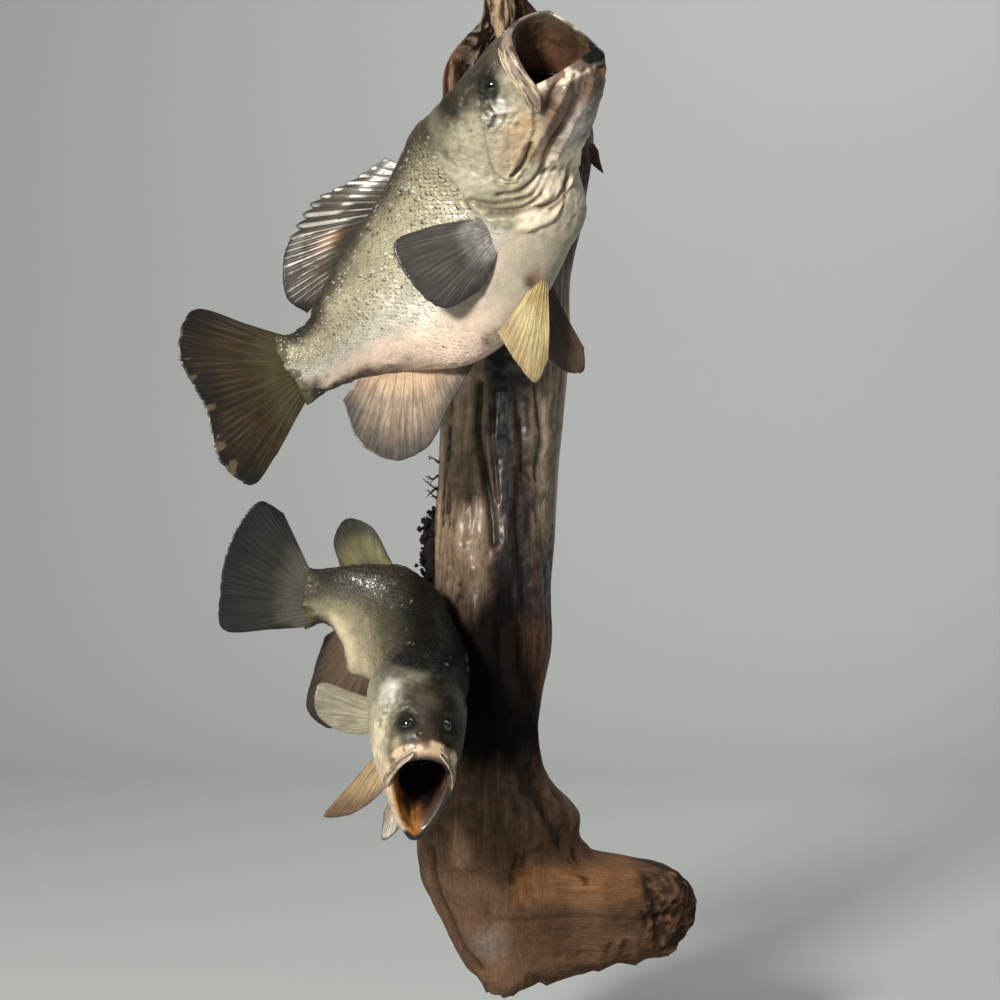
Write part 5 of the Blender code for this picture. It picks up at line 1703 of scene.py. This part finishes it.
class TROPHY_OT_scales(bpy.types.Operator):
    """Add the scales of both fish, one mesh a side"""
    bl_idname = "trophy.scales"
    bl_label = "Scales"

    def execute(self, context):
        settings = context.scene.trophy_fish
        for seed, fish in enumerate((BIG, SMALL)):
            body = fish_surface(fish, settings, round(settings.ring_points * fish.ring_share))
            for side, word in ((1, "right"), (-1, "left")):
                name = f"{fish.name}_scales_{word}"
                build_scales(fish, settings, body, side, name, 10 + 2 * seed + (side > 0))
        return {"FINISHED"}


class TROPHY_OT_mouth(bpy.types.Operator):
    """Add jaw bones, teeth, gill arches and the tongue of the larger fish"""
    bl_idname = "trophy.mouth"
    bl_label = "Mouths"

    def execute(self, context):
        for seed, fish in enumerate((BIG, SMALL)):
            build_maxilla(fish, 1, fish.name + "_jaw_bone_right")
            build_maxilla(fish, -1, fish.name + "_jaw_bone_left")
            build_teeth(fish, fish.name + "_teeth", 20 + seed)
            build_gullet(fish, fish.name + "_gill_arches", 30 + seed)
        return {"FINISHED"}


class TROPHY_OT_eyes(bpy.types.Operator):
    """Add the glass eyes"""
    bl_idname = "trophy.eyes"
    bl_label = "Eyes"

    def execute(self, context):
        build_eye(BIG, 1, "bass_glass_eye_right", "bass_eye_right")
        build_eye(BIG, -1, "bass_glass_eye_left", "bass_eye_left")
        build_eye(SMALL, 1, "small_bass_glass_eye_right")
        build_eye(SMALL, -1, "small_bass_glass_eye_left")
        return {"FINISHED"}


class TROPHY_OT_fins(bpy.types.Operator):
    """Add every fin, each with its own rays and colours"""
    bl_idname = "trophy.fins"
    bl_label = "Fins"

    def execute(self, context):
        settings = context.scene.trophy_fins
        for seed, (name, shape) in enumerate(BIG_FINS.items()):
            build_fin(f"bass_dried_{name}", shape, settings, 100 + 10 * seed, "bass_" + name)
        for seed, (name, shape) in enumerate(SMALL_FINS.items()):
            build_fin(f"small_bass_dried_{name}", shape, settings, 200 + 10 * seed)
        return {"FINISHED"}


class TROPHY_OT_driftwood(bpy.types.Operator):
    """Add the driftwood with its limb and splinter"""
    bl_idname = "trophy.driftwood"
    bl_label = "Driftwood"

    def execute(self, context):
        settings = context.scene.trophy_wood
        build_driftwood(settings)
        build_limb("broken_limb", [(-1, -40, 534), (-1, -48, 500), (2, -58, 470), (6, -60, 440)],
                   (13, 13.5, 12, 7), settings.limb, 71)
        build_limb("splinter", [(76, -52, 330), (88, -54, 338), (94, -54, 326), (100, -54, 317)],
                   (8, 7, 4, 0.6), settings.brown, 75)
        return {"FINISHED"}


class TROPHY_OT_roots(bpy.types.Operator):
    """Add the dry rootlets and twigs on the wood's left edge"""
    bl_idname = "trophy.roots"
    bl_label = "Rootlets"

    def execute(self, context):
        build_tuft("rootlets", 81)
        build_twigs("twigs", 83)
        return {"FINISHED"}


class TROPHY_OT_stage(bpy.types.Operator):
    """Add the floor, the backdrop, the lamps and the camera"""
    bl_idname = "trophy.stage"
    bl_label = "Stage"

    def execute(self, context):
        settings = context.scene.trophy_stage
        scene = context.scene
        bpy.ops.object.select_all(action="DESELECT")
        near = -6.0
        bend = 1.2
        reach = settings.backdrop
        arc = np.linspace(0, math.pi / 2, 13)
        low = -settings.floor_drop
        profile = [(near, low)]
        profile += [(reach - bend + bend * math.sin(a), low + bend - bend * math.cos(a)) for a in arc]
        profile.append((reach, 5.0))
        bpy.ops.mesh.primitive_plane_add(size=1)
        floor = context.active_object
        floor.name = "floor_and_backdrop"
        wide = 7.0
        vertices = [(side * wide, y, z) for y, z in profile for side in (-1, 1)]
        faces = [(2 * i, 2 * i + 1, 2 * i + 3, 2 * i + 2) for i in range(len(profile) - 1)]
        floor.data.clear_geometry()
        floor.data.from_pydata(vertices, [], faces)
        floor.data.shade_smooth()
        floor.data.materials.append(made("Matt paint", paint_material, settings.paint))

        key = add_lamp("key_lamp", (-1.35, -2.25, 0.95), (0.0, -0.1, 0.0), settings.key, 0.5)
        key.data.color = linear("#fffaf2")
        fill = add_lamp("fill_lamp", (1.6, -2.4, 0.3), (0.0, 0.0, 0.0), settings.fill, 2.0)
        fill.data.color = linear("#eaf1ff")
        add_lamp("backdrop_lamp", (1.2, 0.8, 2.2), (0.6, 3.0, 0.2), 45, 2.0)

        world = bpy.data.worlds.new("Studio")
        world.use_nodes = True
        sky = world.node_tree.nodes["Background"]
        sky.inputs["Color"].default_value = (*linear("#dfe6ea"), 1)
        sky.inputs["Strength"].default_value = settings.sky
        scene.world = world

        camera = bpy.data.cameras.new("camera")
        camera.lens = settings.lens
        camera.sensor_width = 36
        holder = bpy.data.objects.new("camera", camera)
        scene.collection.objects.link(holder)
        holder.location = (0, -settings.distance, 0)
        holder.rotation_euler = (math.pi / 2, 0, 0)
        scene.camera = holder
        scene.view_settings.view_transform = "Standard"
        return {"FINISHED"}


def add_lamp(name, location, target, watts, size):
    """A square soft lamp that points at its target."""
    lamp = bpy.data.lights.new(name, "AREA")
    lamp.energy = watts
    lamp.size = size
    obj = bpy.data.objects.new(name, lamp)
    bpy.context.scene.collection.objects.link(obj)
    obj.location = location
    aim = np.asarray(target, float) - np.asarray(location, float)
    flat = math.hypot(aim[0], aim[1])
    obj.rotation_euler = (math.atan2(flat, -aim[2]), 0, math.atan2(-aim[0], aim[1]))
    return obj


OPERATORS = (
    TROPHY_OT_stage, TROPHY_OT_skin, TROPHY_OT_scales, TROPHY_OT_mouth, TROPHY_OT_eyes,
    TROPHY_OT_fins, TROPHY_OT_driftwood, TROPHY_OT_roots,
)
SETTINGS = {
    "trophy_fish": FishSettings, "trophy_fins": FinSettings,
    "trophy_wood": WoodSettings, "trophy_stage": StageSettings,
}


class TROPHY_PT_panel(bpy.types.Panel):
    """The trophy's pieces and their settings"""
    bl_label = "Mounted Trophy Fish"
    bl_idname = "TROPHY_PT_panel"
    bl_space_type = "VIEW_3D"
    bl_region_type = "UI"
    bl_category = "Trophy"

    def draw(self, context):
        for operator in OPERATORS:
            self.layout.operator(operator.bl_idname)
        for label, group in SETTINGS.items():
            box = self.layout.box()
            for key in group.__annotations__:
                box.prop(getattr(context.scene, label), key)


def register():
    for group in SETTINGS.values():
        bpy.utils.register_class(group)
    for operator in OPERATORS:
        bpy.utils.register_class(operator)
    bpy.utils.register_class(TROPHY_PT_panel)
    for label, group in SETTINGS.items():
        setattr(bpy.types.Scene, label, PointerProperty(type=group))


def unregister():
    for label in SETTINGS:
        delattr(bpy.types.Scene, label)
    bpy.utils.unregister_class(TROPHY_PT_panel)
    for operator in reversed(OPERATORS):
        bpy.utils.unregister_class(operator)
    for group in SETTINGS.values():
        bpy.utils.unregister_class(group)


def main():
    register()
    bpy.ops.trophy.stage()
    bpy.ops.trophy.skin()
    bpy.ops.trophy.scales()
    bpy.ops.trophy.mouth()
    bpy.ops.trophy.eyes()
    bpy.ops.trophy.fins()
    bpy.ops.trophy.driftwood()
    bpy.ops.trophy.roots()


if __name__ == "__main__":
    main()
